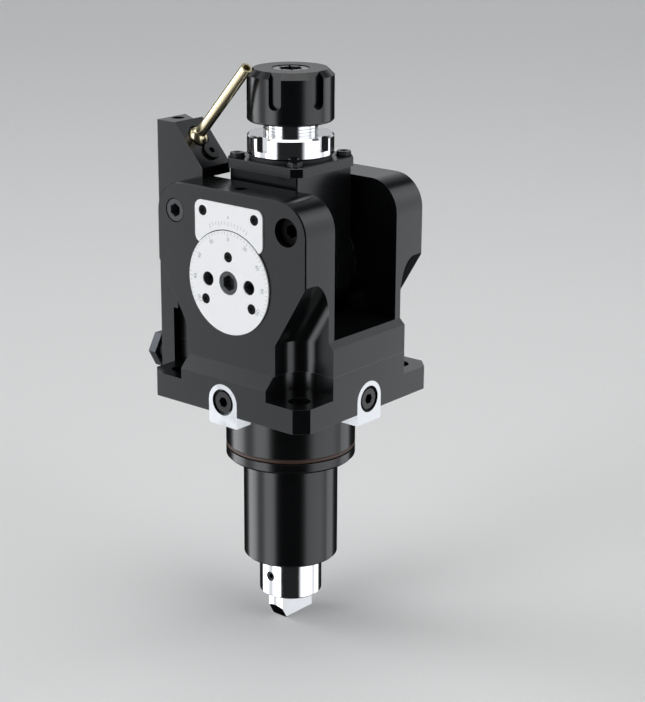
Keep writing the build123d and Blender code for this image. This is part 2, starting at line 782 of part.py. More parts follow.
# Swivelling head: body, trunnions, discs, cover plate and seal
head_bore = spindle_bearing_outer + fit
lip_radius = pitch_radius + 1.9
boss_face = slot_half_width - air
trunnion_end = fork_half_depth + air
neck_half_slot = gear_hub_radius + 0.8
front_register_radius = 8.0
front_register_depth = 3.0
front_screw_points = [(-13.0, 0, pivot_height), (13.0, 0, pivot_height)]
front_boss_seats = facing((0, -1, 0), *[(x, -boss_face, z) for x, y, z in front_screw_points])
rear_boss_points = [
    (19.4 * math.cos(turn), boss_face, pivot_height + 19.4 * math.sin(turn))
    for turn in [math.radians(45 + 90 * step) for step in range(4)]
]
rear_boss_seats = facing((0, 1, 0), *rear_boss_points)
with BuildPart() as head_body:
    with BuildSketch(Plane.XZ.offset(-head_half_y)):
        with Locations((0, (pivot_height + head_top) / 2)):
            Rectangle(2 * head_half_x, head_top - pivot_height)
        with Locations((0, pivot_height)):
            Circle(head_heel_radius)
        with Locations((0, pivot_height)):
            Rectangle(2 * head_half_x, 4 * head_heel_radius + 2 * head_top, mode=Mode.INTERSECT)
    extrude(amount=2 * head_half_y)
    chamfer(edges().filter_by(Axis.Z), length=head_edge_break)
    with BuildSketch(Plane.XZ.offset(-boss_face)):
        with Locations((0, pivot_height)):
            Circle(boss_radius)
    extrude(amount=2 * boss_face)
    with BuildSketch(Plane.XZ.offset(-head_cavity_half)):
        with Locations((0, pivot_height)):
            Circle(head_cavity_radius)
    extrude(amount=2 * head_cavity_half, mode=Mode.SUBTRACT)
    with BuildSketch(Plane.XZ.offset(-boss_face)):
        with Locations((0, pivot_height)):
            Circle(register_radius + fit)
    extrude(amount=boss_face - head_cavity_half, mode=Mode.SUBTRACT)
    with BuildSketch(Plane.XZ.offset(boss_face)):
        with Locations((0, pivot_height)):
            Circle(front_register_radius + fit)
    extrude(amount=-front_register_depth, mode=Mode.SUBTRACT)
    cut_bores(front_boss_seats, 2.5 + fit, 12)
    cut_bores(rear_boss_seats, 1.5 + fit, 7.5)
    with BuildSketch(Plane.XY.offset(pivot_height)):
        Circle(lip_radius)
    extrude(amount=head_top, mode=Mode.SUBTRACT)
    with BuildSketch(Plane.XY.offset(spindle_bearing_bottom)):
        Circle(head_bore)
    extrude(amount=head_top, mode=Mode.SUBTRACT)
    with BuildSketch(Plane.XZ.offset(-neck_half_slot)):
        with Locations((0, pivot_height)):
            Circle(2 * head_heel_radius)
        with Locations((neck_half_slot, pivot_height + neck_half_slot)):
            Rectangle(
                4 * head_heel_radius, 4 * head_heel_radius, align=(Align.MAX, Align.MIN), mode=Mode.SUBTRACT
            )
        with Locations((-neck_half_slot, pivot_height - neck_half_slot)):
            Rectangle(
                4 * head_heel_radius, 4 * head_heel_radius, align=(Align.MAX, Align.MIN), mode=Mode.SUBTRACT
            )
        with Locations((-neck_half_slot, pivot_height)):
            Rectangle(
                4 * head_heel_radius,
                8 * head_heel_radius,
                align=(Align.MAX, Align.CENTER),
                mode=Mode.SUBTRACT,
            )
        with Locations((0, pivot_height + neck_half_slot)):
            Rectangle(
                8 * head_heel_radius,
                4 * head_heel_radius,
                align=(Align.CENTER, Align.MIN),
                mode=Mode.SUBTRACT,
            )
    extrude(amount=2 * neck_half_slot, mode=Mode.SUBTRACT)
    plate_screw_points = [
        (x, y, head_top) for x in (-plate_screw_x, plate_screw_x) for y in (-plate_screw_y, plate_screw_y)
    ]
    cut_bores(facing((0, 0, 1), *plate_screw_points), 2 + fit, 11)
save(head_body, "head_body")

seal_radius = 20.0
seal_bottom = head_top + 2.0
journal_radius = 12.0
with BuildPart() as cover_plate:
    with BuildSketch(Plane.XY.offset(head_top)):
        Rectangle(2 * plate_half_x, 2 * plate_half_y)
        chamfer(vertices(), length=plate_chamfer)
    extrude(amount=plate_thickness)
    chamfer(edges().group_by(Axis.Z)[-1], length=plate_edge_break)
    with BuildSketch(Plane.XY.offset(pilot_bottom)):
        Circle(spindle_bearing_outer)
    extrude(amount=head_top - pilot_bottom)
    with BuildSketch(Plane.XY.offset(pilot_bottom)):
        Circle(journal_radius + 2)
    extrude(amount=plate_top, mode=Mode.SUBTRACT)
    with BuildSketch(Plane.XY.offset(seal_bottom)):
        Circle(seal_radius + fit)
    extrude(amount=plate_top, mode=Mode.SUBTRACT)
    plate_screw_seats = facing((0, 0, 1), *[(x, y, z + plate_screw_web) for x, y, z in plate_screw_points])
    cut_bores(plate_screw_seats, 2.2, 5)
    cut_bores(plate_screw_seats, 4.2, 0, rise=10)
save(cover_plate, "cover_plate")

cover_screws = cap_screws(4.0, 11.0, plate_screw_seats)
save(cover_screws, "cover_screws")

with BuildPart() as spindle_seal:
    with BuildSketch(Plane.XY.offset(seal_bottom)):
        Circle(seal_radius)
        Circle(journal_radius + running_fit, mode=Mode.SUBTRACT)
    extrude(amount=ring_bottom - air - seal_bottom)
save(spindle_seal, "spindle_seal")

front_screw_seats = [seat.offset(6) for seat in front_boss_seats]
dial_face = trunnion_end + dial_thickness
with BuildPart() as front_trunnion:
    with BuildSketch(Plane.XZ.offset(boss_face)):
        with Locations((0, pivot_height)):
            Circle(trunnion_radius - running_fit)
    extrude(amount=trunnion_end - boss_face)
    with BuildSketch(Plane.XZ.offset(boss_face)):
        with Locations((0, pivot_height)):
            Circle(front_register_radius)
    extrude(amount=0.2 - front_register_depth)
    cut_bores(front_screw_seats, 2.8, 6)
    cut_bores(front_screw_seats, 4.6, 0, rise=20)
    dial_holes = [(0, 12.65), (-14.6, -10.1), (14.6, -10.1)]
    dial_screw_points = [(x, -trunnion_end, pivot_height + z) for x, z in dial_holes]
    cut_bores(facing((0, -1, 0), *dial_screw_points), 1.5 + fit, 9)
    dial_centre_seat = facing((0, -1, 0), (0, dial_centre_sink + 6 - dial_face, pivot_height))
    cut_bores(dial_centre_seat, 3 + fit, 14)
    cut_bores(dial_centre_seat, dial_centre_radius, 0, rise=8)
save(front_trunnion, "front_trunnion")

front_trunnion_screws = cap_screws(5.0, 13.5, front_screw_seats)
save(front_trunnion_screws, "front_trunnion_screws")

key_holes = [(x, z - pivot_height) for x, y, z in front_screw_points]
dial_screw_seats = facing((0, -1, 0), *[(x, 1.2 - dial_face, z) for x, y, z in dial_screw_points])
with BuildPart() as dial_disc:
    with BuildSketch(Plane.XZ.offset(trunnion_end)):
        with Locations((0, pivot_height)):
            Circle(dial_radius)
            Circle(dial_centre_radius, mode=Mode.SUBTRACT)
            with Locations(*dial_holes):
                Circle(1.7, mode=Mode.SUBTRACT)
            with Locations(*key_holes):
                Circle(3.3, mode=Mode.SUBTRACT)
    extrude(amount=dial_thickness)
    cut_bores(dial_screw_seats, 2.25, 0, rise=2)
save(dial_disc, "dial_disc")

dial_screws = disc_screws(2.15, 1.1, 1.5, 3.0, 8.0, dial_screw_seats)
save(dial_screws, "dial_screws")

dial_centre_screw = cap_screws(6.0, 13.0, dial_centre_seat)
save(dial_centre_screw, "dial_centre_screw")

transfer_bore = transfer_bearing_outer + fit
transfer_bearing_end = transfer_bearing_start + 2 * transfer_bearing_width
rear_screw_seats = [seat.offset(4) for seat in rear_boss_seats]
rear_cap_points = [
    (18 * math.cos(turn), trunnion_end, pivot_height + 18 * math.sin(turn))
    for turn in [math.radians(90 + 120 * step) for step in range(3)]
]
with BuildPart() as rear_trunnion:
    with BuildSketch(Plane.XZ.offset(-head_cavity_half)):
        with Locations((0, pivot_height)):
            Circle(register_radius)
    extrude(amount=head_cavity_half - boss_face)
    with BuildSketch(Plane.XZ.offset(-boss_face)):
        with Locations((0, pivot_height)):
            Circle(trunnion_radius - running_fit)
    extrude(amount=boss_face - trunnion_end)
    with BuildSketch(Plane.XZ.offset(-head_cavity_half)):
        with Locations((0, pivot_height)):
            Circle(transfer_bearing_outer - 2.5)
    extrude(amount=-trunnion_end, mode=Mode.SUBTRACT)
    with BuildSketch(Plane.XZ.offset(-transfer_bearing_start)):
        with Locations((0, pivot_height)):
            Circle(transfer_bore)
    extrude(amount=-trunnion_end, mode=Mode.SUBTRACT)
    cut_bores(rear_screw_seats, 1.7, 4)
    cut_bores(rear_screw_seats, 2.75, 0, rise=20)
    cut_bores(facing((0, 1, 0), *rear_cap_points), 1.5 + fit, 9)
save(rear_trunnion, "rear_trunnion")

rear_trunnion_screws = cap_screws(3.0, 11.0, rear_screw_seats)
save(rear_trunnion_screws, "rear_trunnion_screws")

rear_cap_thickness = 2.4
with BuildPart() as rear_cap:
    with BuildSketch(Plane.XZ.offset(-trunnion_end)):
        with Locations((0, pivot_height)):
            Circle(dial_radius)
    extrude(amount=-rear_cap_thickness)
    with BuildSketch(Plane.XZ.offset(-transfer_bearing_end)):
        with Locations((0, pivot_height)):
            Circle(transfer_bearing_outer)
            Circle(transfer_bearing_outer - 2.5, mode=Mode.SUBTRACT)
    extrude(amount=transfer_bearing_end - trunnion_end)
    cut_bores(facing((0, 1, 0), *rear_cap_points), 1.7, 0, rise=3)
save(rear_cap, "rear_cap")

rear_cap_seats = facing((0, 1, 0), *[(x, y + rear_cap_thickness, z) for x, y, z in rear_cap_points])
rear_cap_screws = disc_screws(2.8, 1.6, 2.0, 3.0, 9.5, rear_cap_seats)
save(rear_cap_screws, "rear_cap_screws")

# Transfer gear on the swivel axis, carried in the rear trunnion
transfer_plane = Plane(origin=pivot, x_dir=(0, 0, -1), z_dir=(0, 1, 0))
transfer_gear = bevel_gear(
    transfer_plane, 0.0, gear_back, transfer_bearing_start - gear_back, first_space=0.0
)
with BuildPart() as transfer_pinion:
    add(transfer_gear.part)
    with BuildSketch(Plane.XZ.offset(-transfer_bearing_start)):
        with Locations((0, pivot_height)):
            Circle(transfer_bearing_bore)
    extrude(amount=-(transfer_bearing_end - transfer_bearing_start + 3.5))
save(transfer_pinion, "transfer_gear")

transfer_ball = 2.0
transfer_pitch = (transfer_bearing_bore + transfer_bearing_outer) / 2
transfer_bearing_planes = [
    Plane(origin=(0, transfer_bearing_start + step * transfer_bearing_width, pivot_height), z_dir=(0, 1, 0))
    for step in range(2)
]
transfer_outer_rings = race_rings(
    transfer_bearing_planes,
    transfer_bearing_outer,
    transfer_pitch + 1.5,
    transfer_bearing_width,
    transfer_ball,
    transfer_pitch,
)
save(transfer_outer_rings, "transfer_bearing_outer_rings")
transfer_inner_rings = race_rings(
    transfer_bearing_planes,
    transfer_pitch - 1.5,
    transfer_bearing_bore + fit,
    transfer_bearing_width,
    transfer_ball,
    transfer_pitch,
)
save(transfer_inner_rings, "transfer_bearing_inner_rings")
transfer_balls = balls(transfer_bearing_planes, transfer_bearing_width, transfer_ball, transfer_pitch, 9)
save(transfer_balls, "transfer_bearing_balls")

transfer_circlip = ring_solid(
    Plane(origin=(0, transfer_bearing_end, pivot_height), z_dir=(0, 1, 0)),
    transfer_bearing_bore + 2.2,
    transfer_bearing_bore + fit,
    1.2,
)
save(transfer_circlip, "transfer_circlip")

# Spindle: bearing journals, spanner ring, threaded nose and collet taper
spindle_bearing_planes = [
    Plane.XY.offset(spindle_bearing_bottom + step * (spindle_bearing_width + spindle_bearing_gap))
    for step in range(2)
]
spindle_ball = 2.6
spindle_pitch = (spindle_bearing_bore + spindle_bearing_outer) / 2
spindle_outer_rings = race_rings(
    spindle_bearing_planes,
    spindle_bearing_outer,
    spindle_pitch + 1.8,
    spindle_bearing_width,
    spindle_ball,
    spindle_pitch,
)
save(spindle_outer_rings, "spindle_bearing_outer_rings")
spindle_inner_rings = race_rings(
    spindle_bearing_planes,
    spindle_pitch - 1.8,
    spindle_bearing_bore + fit,
    spindle_bearing_width,
    spindle_ball,
    spindle_pitch,
)
save(spindle_inner_rings, "spindle_bearing_inner_rings")
spindle_balls = balls(spindle_bearing_planes, spindle_bearing_width, spindle_ball, spindle_pitch, 9)
save(spindle_balls, "spindle_bearing_balls")

spindle_spacer_plane = spindle_bearing_planes[0].offset(spindle_bearing_width)
spindle_outer_spacer = ring_solid(
    spindle_spacer_plane, spindle_bearing_outer, spindle_bearing_outer - 2.0, spindle_bearing_gap
)
save(spindle_outer_spacer, "spindle_outer_spacer")
spindle_inner_spacer = ring_solid(
    spindle_spacer_plane, spindle_bearing_bore + 2.0, spindle_bearing_bore + fit, spindle_bearing_gap
)
save(spindle_inner_spacer, "spindle_inner_spacer")

cone_bottom = nose_top - collet_cone_length
cone_slope = math.tan(math.radians(collet_angle))
cone_small_radius = collet_mouth_radius - collet_cone_length * cone_slope
spindle_end = pivot_height + pitch_radius + mesh_opening - 2.5
with BuildPart() as spindle:
    with BuildSketch(Plane.XZ):
        with BuildLine():
            Polyline(
                (0, spindle_end),
                (gear_bore_radius, spindle_end),
                (gear_bore_radius, gear_seat_top),
                (spindle_bearing_bore, gear_seat_top),
                (spindle_bearing_bore, pilot_bottom),
                (journal_radius, pilot_bottom),
                (journal_radius, ring_bottom),
                (ring_radius - 0.6, ring_bottom),
                (ring_radius, ring_bottom + 0.6),
                (ring_radius, ring_top - 1.0),
                (ring_radius - 1.0, ring_top),
                (thread_radius, ring_top),
                (thread_radius, nose_top - 1.0),
                (thread_radius - 1.0, nose_top),
                (collet_mouth_radius + 0.04, nose_top),
                (cone_small_radius + 0.04, cone_bottom),
                (cone_small_radius - 0.3, cone_bottom - 1.0),
                (cone_small_radius - 0.3, cone_bottom - 9.0),
                (0, cone_bottom - 12.0),
                close=True,
            )
        make_face()
    revolve(axis=Axis.Z)
    with BuildSketch(Plane.XY.offset(ring_bottom + 3.0)):
        with PolarLocations(ring_radius, 4):
            Rectangle(2 * ring_notch_depth, ring_notch_width)
    extrude(amount=ring_height, mode=Mode.SUBTRACT)
save(spindle, "spindle")

spindle_gear_plane = Plane(origin=pivot, x_dir=(0, 1, 0), z_dir=(0, 0, 1))
spindle_gear = bevel_gear(spindle_gear_plane, gear_bore_radius + fit, gear_back, 0.38, shift=mesh_opening)
save(spindle_gear, "spindle_gear")

with BuildPart() as spindle_locknut:
    locknut_bottom = gear_seat_top + 0.1
    with BuildSketch(Plane.XY.offset(locknut_bottom)):
        Circle(lip_radius - 0.9)
        Circle(spindle_bearing_bore + fit, mode=Mode.SUBTRACT)
        with PolarLocations(lip_radius - 0.9, 4):
            Rectangle(2, 3, mode=Mode.SUBTRACT)
    extrude(amount=spindle_bearing_bottom - locknut_bottom)
save(spindle_locknut, "spindle_locknut")

# Collet with its 8 degree cone, groove, nose and slits
groove_bottom = nose_top + 0.3
groove_top = groove_bottom + 2.1
rim_top = groove_top + 1.2
collet_top = nut_top - air
rim_radius = collet_mouth_radius - 0.2
face_radius = rim_radius - 1.6
with BuildPart() as collet:
    with BuildSketch(Plane.XZ):
        with BuildLine():
            Polyline(
                (collet_bore_radius, cone_bottom),
                (cone_small_radius, cone_bottom),
                (collet_mouth_radius, nose_top),
                (collet_mouth_radius, groove_bottom),
                (rim_radius - 1.0, groove_bottom),
                (rim_radius - 1.0, groove_top),
                (rim_radius, groove_top),
                (rim_radius, rim_top),
                (face_radius, collet_top),
                (collet_bore_radius, collet_top),
                close=True,
            )
        make_face()
    revolve(axis=Axis.Z)
    for start, first_turn in ((cone_bottom + 3.5, 0), (cone_bottom - 3.5, 22.5)):
        with BuildSketch(Plane.XY.offset(start)):
            with Locations(Rotation(0, 0, first_turn)):
                with PolarLocations(collet_mouth_radius, 8):
                    Rectangle(2 * collet_mouth_radius - 2, collet_slit)
        extrude(amount=collet_top - cone_bottom, mode=Mode.SUBTRACT)
save(collet, "collet")

with BuildPart() as collet_nut:
    lip_clear = 0.25
    with BuildSketch(Plane.XZ):
        with BuildLine():
            Polyline(
                (thread_radius + 0.1, nut_bottom),
                (nut_radius - 0.8, nut_bottom),
                (nut_radius, nut_bottom + 0.8),
                (nut_radius, nut_top - nut_bevel),
                (nut_radius - nut_bevel, nut_top),
                (face_radius + air, nut_top),
                (rim_radius + 0.4, rim_top + 0.1),
                (rim_radius + 0.4, groove_top - lip_clear),
                (rim_radius - 0.6, groove_top - lip_clear),
                (rim_radius - 0.6, groove_bottom + lip_clear),
                (thread_radius + 0.1, groove_bottom + lip_clear),
                close=True,
            )
        make_face()
    revolve(axis=Axis.Z)
    slot_turns = [math.radians(nut_slot_angle + 60 * step) for step in range(6)]
    slot_planes = [
        Plane(
            origin=(nut_radius * math.cos(turn), nut_radius * math.sin(turn), nut_top),
            x_dir=(-math.sin(turn), math.cos(turn), 0),
            z_dir=(math.cos(turn), math.sin(turn), 0),
        )
        for turn in slot_turns
    ]
    with BuildSketch(*slot_planes):
        with Locations((0, nut_slot_width / 2 - nut_slot_height)):
            Circle(nut_slot_width / 2)
        with Locations((0, (nut_slot_width / 2 - nut_slot_height) / 2)):
            Rectangle(nut_slot_width, nut_slot_height - nut_slot_width / 2)
    extrude(amount=-nut_slot_depth, mode=Mode.SUBTRACT)
save(collet_nut, "collet_nut")
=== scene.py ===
"""Looks for the swivelling driven tool holder: finishes, thread, plates, marks and stage.

Lengths are in metres, as in the frame.
"""

import json
import math

import bmesh
import bpy
import numpy as np
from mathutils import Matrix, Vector


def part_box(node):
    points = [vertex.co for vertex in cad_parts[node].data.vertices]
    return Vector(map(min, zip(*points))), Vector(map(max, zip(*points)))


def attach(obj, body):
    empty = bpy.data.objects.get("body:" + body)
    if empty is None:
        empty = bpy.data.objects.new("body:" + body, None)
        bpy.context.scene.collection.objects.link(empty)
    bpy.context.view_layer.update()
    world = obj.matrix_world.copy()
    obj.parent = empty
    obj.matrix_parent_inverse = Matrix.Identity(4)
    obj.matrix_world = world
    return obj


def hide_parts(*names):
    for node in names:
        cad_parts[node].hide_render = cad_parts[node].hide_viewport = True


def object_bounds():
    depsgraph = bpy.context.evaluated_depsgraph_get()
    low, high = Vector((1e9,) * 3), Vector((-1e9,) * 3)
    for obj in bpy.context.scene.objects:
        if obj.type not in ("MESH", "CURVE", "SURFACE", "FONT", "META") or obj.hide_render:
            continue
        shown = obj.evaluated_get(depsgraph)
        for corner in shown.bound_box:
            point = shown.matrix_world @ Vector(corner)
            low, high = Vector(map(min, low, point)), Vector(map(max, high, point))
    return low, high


bl_info = {
    "name": "Driven Tool Holder Looks",
    "version": (1, 0, 0),
    "blender": (4, 5, 0),
    "location": "View3D > Sidebar > Holder",
    "description": "Finishes, thread, dial marks, screw heads and stage for a driven tool holder",
    "category": "Object",
}

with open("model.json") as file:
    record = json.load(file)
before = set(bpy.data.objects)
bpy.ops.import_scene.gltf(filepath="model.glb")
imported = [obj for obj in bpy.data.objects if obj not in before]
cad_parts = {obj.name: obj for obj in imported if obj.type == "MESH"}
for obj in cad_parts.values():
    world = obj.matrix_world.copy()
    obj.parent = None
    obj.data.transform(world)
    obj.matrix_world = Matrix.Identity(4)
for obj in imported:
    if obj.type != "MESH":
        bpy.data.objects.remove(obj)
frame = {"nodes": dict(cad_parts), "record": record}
cad_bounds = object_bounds()
nodes = frame["nodes"]


# Places read from the frame, and the floor

MM = 0.001
PIVOT_Z = (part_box("dial_disc")[0].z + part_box("dial_disc")[1].z) / 2
DIAL_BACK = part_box("front_trunnion")[0].y
INDEX_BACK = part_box("index_plate")[1].y
FLOOR_GAP = 0.2 * MM
FLOOR_Z = cad_bounds[0][2] - FLOOR_GAP
FLOOR_HALF = 9.0


# Thread and knurls: lengths, and shares of a screw head's radius and height

THREAD_TURNS = 4.0
THREAD_DEPTH = 0.95 * MM
THREAD_BELOW_NUT = 6.1 * MM
RIDGES = 40
RIDGE_WIDTH_SHARE = 0.09
RIDGE_LENGTH_SHARE = 0.78


# Plates: sockets, depths and gaps of the flush screws, and where the marks stand

SMALL_SOCKET = 2.0 * MM
SMALL_DEPTH = 0.5 * MM
SMALL_SUNK = 0.05 * MM
SMALL_GAP = 0.05 * MM
CENTRE_SOCKET = 7.0 * MM
CENTRE_DEPTH = 4.0 * MM
CENTRE_SUNK = 0.4 * MM
CENTRE_WIDER = 0.4 * MM
CENTRE_GAP = 0.3 * MM
INDEX_FOOT = 17.0 * MM
INDEX_GAP = 0.5 * MM
DIAL_SWEEP_DEGREES = 120
MARK_WIDTH = 0.16 * MM
MARK_DEPTH = 0.06 * MM
MARK_INSET = 0.4 * MM
NUMERAL_RADIUS = 21.2 * MM
VERNIER_RADIUS = 29.6 * MM
ZERO_RADIUS = 31.6 * MM
ZERO_HEIGHT = 2.0 * MM


# Camera fitted to the photo, in its pixels, and the light round the holder

PHOTO_WIDE, PHOTO_TALL = 645, 702
FOCAL_PIXELS = 1846.343
AXIS_X, AXIS_Y = 290.636, 348.487
SENSOR = 36.0
NEAREST_SEEN = 0.05
TOP_LIGHT_SIDE = 1.2
TOP_LIGHT_ABOVE = 1.4
ROOM_GLOW = 0.02
BACKDROP_GLOW = 0.8
SOFTBOX_CORE = 0.45


# Settings that the panel shows


class FinishSettings(bpy.types.PropertyGroup):
    coating: bpy.props.StringProperty(
        name="Coating", description="sRGB hex of the black coated housings", default="#08090a"
    )
    oxide: bpy.props.StringProperty(
        name="Oxide", description="sRGB hex of the oxide-blackened nut and screws", default="#090a0b"
    )
    steel: bpy.props.StringProperty(
        name="Steel", description="sRGB hex of the polished steel parts", default="#e6e7e9"
    )
    brass: bpy.props.StringProperty(
        name="Brass", description="sRGB hex of the turned brass nozzle", default="#f6e8c0"
    )
    plate: bpy.props.StringProperty(
        name="Plate", description="sRGB hex of the dial and index plates", default="#f8f8f8"
    )
    grain_mm: bpy.props.FloatProperty(
        name="Grain (mm)", description="Size of the grain in the black coating", default=0.35, min=0.05
    )


class ThreadSettings(bpy.types.PropertyGroup):
    pitch: bpy.props.FloatProperty(
        name="Pitch", description="Rise of one turn", default=1.5 * MM, unit="LENGTH", subtype="DISTANCE"
    )
    crest: bpy.props.FloatProperty(
        name="Crest radius", description="Outer radius of the thread", default=13.65 * MM, unit="LENGTH"
    )


class PlateSettings(bpy.types.PropertyGroup):
    thickness: bpy.props.FloatProperty(
        name="Thickness", description="Thickness of both white plates", default=0.7 * MM, unit="LENGTH"
    )
    dial_radius: bpy.props.FloatProperty(
        name="Dial radius", description="Outer radius of the dial", default=25.2 * MM, unit="LENGTH"
    )
    head_radius: bpy.props.FloatProperty(
        name="Screw head radius",
        description="Flush screws of both plates",
        default=2.5 * MM,
        unit="LENGTH",
    )
    access_radius: bpy.props.FloatProperty(
        name="Access hole radius",
        description="Holes for the key of the trunnion screws",
        default=3.5 * MM,
        unit="LENGTH",
    )
    corner: bpy.props.FloatProperty(
        name="Corner radius",
        description="Rounded corners of the index plate",
        default=4.0 * MM,
        unit="LENGTH",
    )


class DialSettings(bpy.types.PropertyGroup):
    tick_step: bpy.props.FloatProperty(
        name="Tick step", description="Angle between two marks", default=math.radians(5), subtype="ANGLE"
    )
    numeral_step: bpy.props.IntProperty(
        name="Numeral step", description="Degrees between two numerals", default=30, min=10, max=90
    )
    numeral_height: bpy.props.FloatProperty(
        name="Numeral height", description="Height of a numeral", default=2.6 * MM, unit="LENGTH"
    )


class StageSettings(bpy.types.PropertyGroup):
    azimuth: bpy.props.FloatProperty(
        name="Azimuth",
        description="Camera angle from the dial side",
        default=math.radians(40.674),
        subtype="ANGLE",
    )
    elevation: bpy.props.FloatProperty(
        name="Elevation",
        description="Camera angle above the floor",
        default=math.radians(17.47),
        subtype="ANGLE",
    )
    distance: bpy.props.FloatProperty(
        name="Distance", description="Camera to its aim point", default=917.456 * MM, unit="LENGTH"
    )
    aim_height: bpy.props.FloatProperty(
        name="Aim height", description="Height of the point aimed at", default=21.228 * MM, unit="LENGTH"
    )
    top_power: bpy.props.FloatProperty(
        name="Top light", description="Power of the softbox overhead", default=9.0, min=0.0, unit="POWER"
    )
    floor: bpy.props.StringProperty(name="Floor", description="sRGB hex of the floor", default="#e6e6e4")


# Small helpers


def linear(code, times=1.0):
    """Turn an sRGB hex value into the linear colour that a shader takes, made lighter by times."""
    parts = [int(code[i : i + 2], 16) / 255 for i in (1, 3, 5)]
    parts = [c / 12.92 if c <= 0.04045 else ((c + 0.055) / 1.055) ** 2.4 for c in parts]
    return tuple(c * times for c in parts) + (1.0,)


def put(tree, kind, sockets=None, **settings):
    """Add a node with its settings, and set or link its inputs."""
    node = tree.nodes.new(kind)
    for name, value in settings.items():
        setattr(node, name, value)
    for key, value in (sockets or {}).items():
        target = node.inputs[key]
        if isinstance(value, bpy.types.NodeSocket):
            tree.links.new(value, target)
        else:
            target.default_value = value
    return node


def blank_material(name):
    """A material with its tree emptied, and object coordinates to draw on."""
    mat = bpy.data.materials.new(name)
    mat.use_nodes = True
    tree = mat.node_tree
    tree.nodes.clear()
    where = put(tree, "ShaderNodeTexCoord").outputs["Object"]
    return mat, tree, where


def close_material(tree, shader):
    """Join the shader to the material's output."""
    put(tree, "ShaderNodeOutputMaterial", {"Surface": shader.outputs[0]})


def dress(name, mat):
    """Give a CAD node a finish."""
    for place in nodes[name].material_slots:
        place.material = mat


def link(name, data):
    """Add an object with this data to the scene."""
    made = bpy.data.objects.new(name, data)
    bpy.context.scene.collection.objects.link(made)
    return made


def solid_object(name, bm, mat):
    """Turn a bmesh into a scene object with one finish."""
    mesh = bpy.data.meshes.new(name)
    bm.to_mesh(mesh)
    bm.free()
    mesh.materials.append(mat)
    return link(name, mesh)


def evaluated_mesh(holder):
    """The mesh that a curve, text or nodes object comes out as. The object itself goes."""
    graph = bpy.context.evaluated_depsgraph_get()
    mesh = bpy.data.meshes.new_from_object(holder.evaluated_get(graph))
    bpy.data.objects.remove(holder)
    return mesh


def baked(name, carrier):
    """Turn a geometry-nodes object into a plain mesh piece."""
    mesh = evaluated_mesh(carrier)
    mesh.name = name
    return link(name, mesh)


def node_tree(name, wants):
    """A geometry-nodes tree with named inputs. An input without a default is given at each use."""
    tree = bpy.data.node_groups.new(name, "GeometryNodeTree")
    tree.interface.new_socket("Geometry", in_out="INPUT", socket_type="NodeSocketGeometry")
    for label, kind, value in wants:
        made = tree.interface.new_socket(label, in_out="INPUT", socket_type=kind)
        if value is not None:
            made.default_value = value
    tree.interface.new_socket("Geometry", in_out="OUTPUT", socket_type="NodeSocketGeometry")
    return tree, put(tree, "NodeGroupInput").outputs


def finish_tree(tree, geometry, mat):
    """Close a geometry-nodes tree: real copies with one finish."""
    real = put(tree, "GeometryNodeRealizeInstances", {"Geometry": geometry})
    coat = put(tree, "GeometryNodeSetMaterial", {"Geometry": real.outputs[0], "Material": mat})
    put(tree, "NodeGroupOutput", {"Geometry": coat.outputs[0]})


def carry(name, tree, values, points=(), axes=()):
    """An object that carries the tree as a modifier, with the inputs that values names set."""
    mesh = bpy.data.meshes.new(name)
    mesh.from_pydata([tuple(p) for p in points], [], [])
    if len(axes):
        way = mesh.attributes.new("axis", "FLOAT_VECTOR", "POINT")
        way.data.foreach_set("vector", np.array(axes, dtype=np.float32).ravel())
    carrier = link(name, mesh)
    modifier = carrier.modifiers.new(name, "NODES")
    modifier.node_group = tree
    for item in tree.interface.items_tree:
        if item.in_out == "INPUT" and item.name in values:
            modifier[item.identifier] = values[item.name]
    return carrier


# Finishes


def edge_wear(tree, radius_mm):
    """A mask that is one on outer edges and nought on flats and in inner corners, for rubbed wear and a
    painted edge highlight.
    """
    rounded = put(tree, "ShaderNodeBevel", {"Radius": radius_mm * MM}, samples=6)
    flat = put(tree, "ShaderNodeNewGeometry")
    agree = put(
        tree,
        "ShaderNodeVectorMath",
        {0: rounded.outputs["Normal"], 1: flat.outputs["Normal"]},
        operation="DOT_PRODUCT",
    )
    edge = put(
        tree,
        "ShaderNodeMapRange",
        {"Value": agree.outputs["Value"], "From Min": 0.995, "From Max": 0.9},
    )
    open_sky = put(tree, "ShaderNodeAmbientOcclusion", {"Distance": 2.5 * radius_mm * MM}, samples=6)
    outer = put(
        tree,
        "ShaderNodeMapRange",
        {"Value": open_sky.outputs["AO"], "From Min": 0.8, "From Max": 0.97},
    )
    return put(
        tree,
        "ShaderNodeMath",
        {0: edge.outputs["Result"], 1: outer.outputs["Result"]},
        operation="MULTIPLY",
    )


